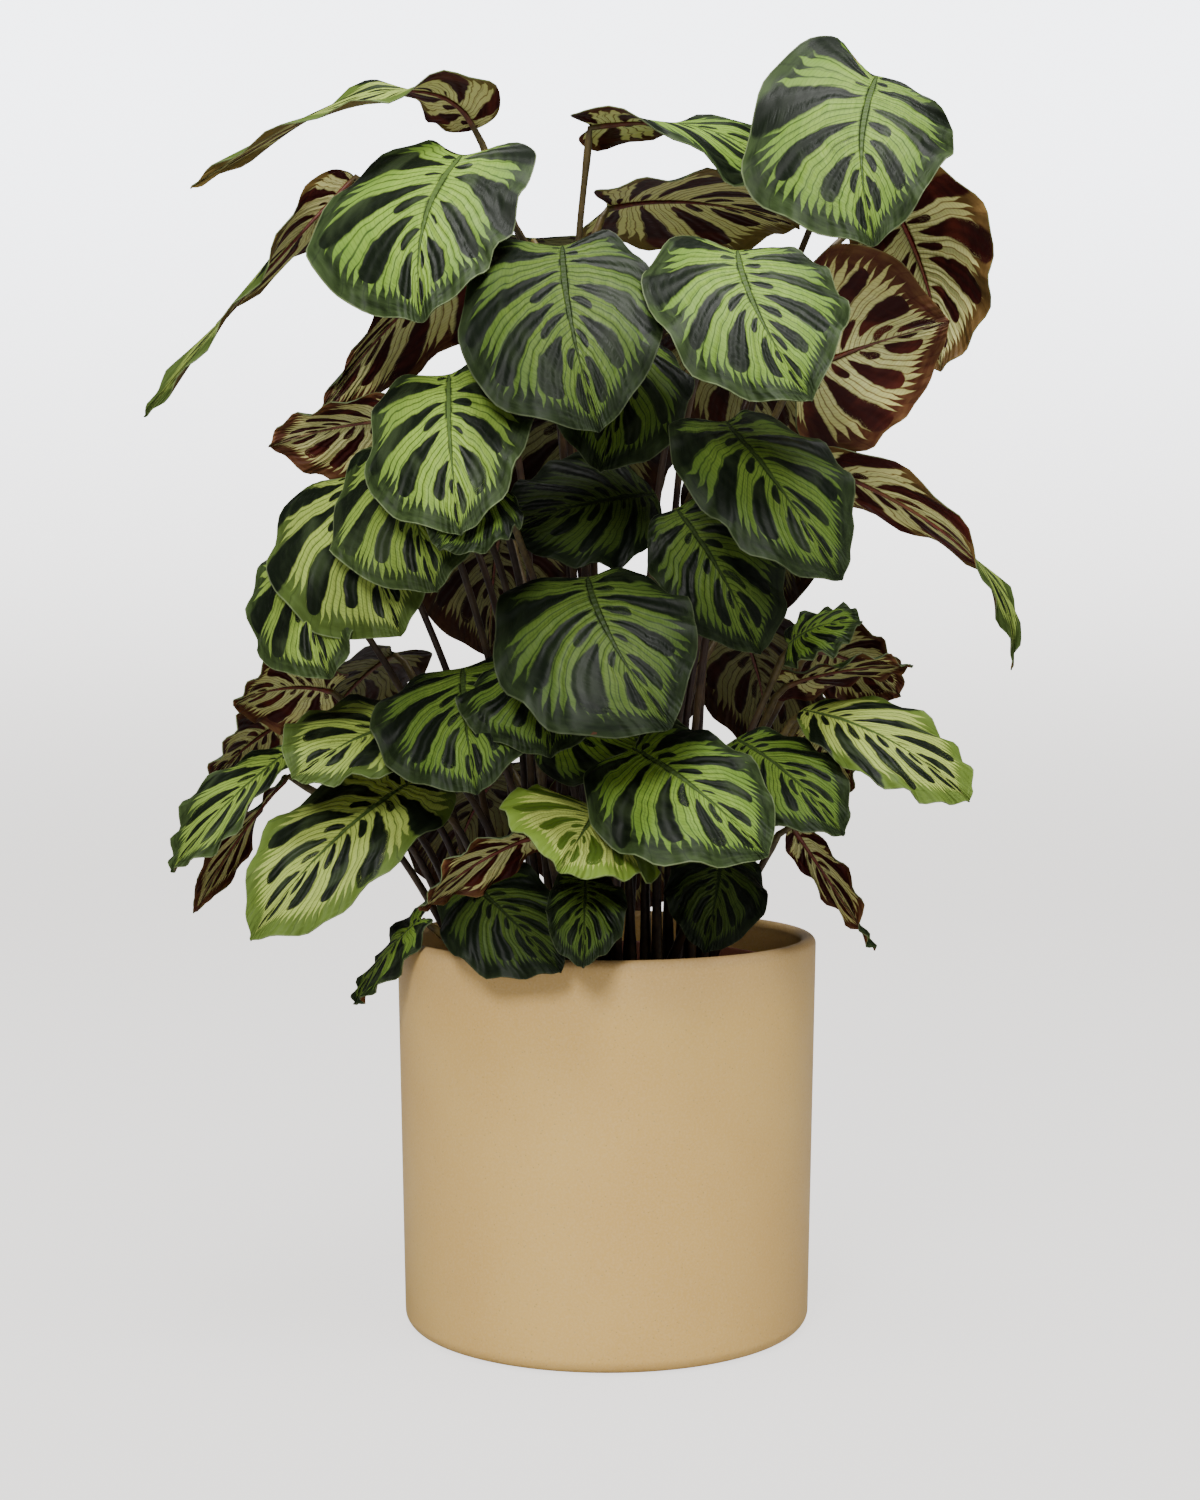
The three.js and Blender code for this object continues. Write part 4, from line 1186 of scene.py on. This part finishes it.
def studio_paint():
    """Pale paint that the lamps light; the camera sees a painted glow on it, brighter higher up."""
    material, tree = new_material("studio_paint")
    place = place_on(tree)
    height = node(tree, "ShaderNodeSeparateXYZ", {0: place}).outputs[2]
    tint = blend(noise(place, 0.7), (0.42, 0.415, 0.41, 1), (0.46, 0.455, 0.45, 1))
    paint = node(tree, "ShaderNodeBsdfDiffuse", {"Color": tint}).outputs[0]
    rise = fade(height, 0.0, BACKDROP_GLOW_HEIGHT)
    # Painted glow that the camera sees on the backdrop, brighter and bluer higher up
    backdrop_glow = blend(rise, (0.81, 0.785, 0.765, 1), (0.90, 0.925, 0.99, 1))
    strength = fade(height, 0.0, BACKDROP_GLOW_HEIGHT, *BACKDROP_GLOW_STRENGTH)
    bright = {"Color": backdrop_glow, "Strength": strength}
    bright = node(tree, "ShaderNodeEmission", bright).outputs[0]
    seen = node(tree, "ShaderNodeLightPath").outputs["Is Camera Ray"]
    share = times(seen, fade(height, 0.0, 0.6, 0.55, 0.8))
    mixed = node(tree, "ShaderNodeMixShader", {0: share, 1: paint, 2: bright})
    return shown(material, mixed.outputs[0])


def make_backdrop(material):
    """A round floor that sweeps up to a wall."""
    bend_radius = WALL_RADIUS - WALL_BEND
    profile = [(0, FLOOR_LEVEL), *straight((0, FLOOR_LEVEL), (bend_radius, FLOOR_LEVEL), 6)]
    profile += arc(bend_radius, WALL_BEND + FLOOR_LEVEL, WALL_BEND, -90, 0, 24)
    profile += straight((WALL_RADIUS, WALL_BEND), (WALL_RADIUS, WALL_TOP), 4)
    profile += [(WALL_RADIUS, WALL_TOP)]
    rings = [ring(radius, height, WALL_SEGMENTS) for radius, height in profile[1:]]
    vertices, faces = joined(profile[0][1], rings)
    faces = [face[::-1] for face in faces]
    make_piece("studio_floor_and_sweep", vertices, faces, [material])


def make_lamps():
    """The soft light from all round, and the lamps turned to what they light."""
    world = bpy.data.worlds.new("studio_light")
    bpy.context.scene.world = world
    world.use_nodes = True
    sky = world.node_tree.nodes["Background"]
    sky.inputs["Color"].default_value = (0.97, 0.97, 0.98, 1)
    sky.inputs["Strength"].default_value = SKY_STRENGTH
    for name, place, aim, size, power, colour in LAMPS:
        light = bpy.data.lights.new(name, "AREA")
        light.shape = "DISK"
        light.size = size
        light.energy = power
        light.color = colour
        lamp = bpy.data.objects.new(name, light)
        bpy.context.scene.collection.objects.link(lamp)
        lamp.location = place
        direction = Vector(aim) - Vector(place)
        lamp.rotation_euler = direction.to_track_quat("-Z", "Y").to_euler()


def make_camera():
    """The camera in front of the plant, tilted slightly down."""
    data = bpy.data.cameras.new("front_camera")
    data.sensor_fit = "VERTICAL"
    data.sensor_height = CAMERA_SENSOR
    data.lens = CAMERA_LENS
    camera = bpy.data.objects.new("front_camera", data)
    bpy.context.scene.collection.objects.link(camera)
    camera.location = CAMERA_PLACE
    camera.rotation_euler = (math.radians(CAMERA_TILT), 0, 0)
    bpy.context.scene.camera = camera


make_backdrop(studio_paint())
make_lamps()
make_camera()

speckle = build_speckle()
make_cover_pot(glaze_material(speckle))
make_nursery_pot(liner_material(speckle))
make_soil(soil_material())

markings = build_markings()
upper_side = leaf_side("leaf_upper_side", markings, UPPER, see_through=0.24, back_leaf_painted_shade=0.0)
under_side = leaf_side("leaf_under_side", markings, UNDER, see_through=0.22, back_leaf_painted_shade=0.72)
leaf_materials = [upper_side, under_side, stalk_material()]
leaves = [Leaf(row, index) for index, row in enumerate(LEAVES)]
paths = [stalk_path(leaf, root) for leaf, root in zip(leaves, root_places(leaves))]
spread_stalks(paths)
for leaf, path in zip(leaves, paths):
    make_leaf(leaf, path, leaf_materials)
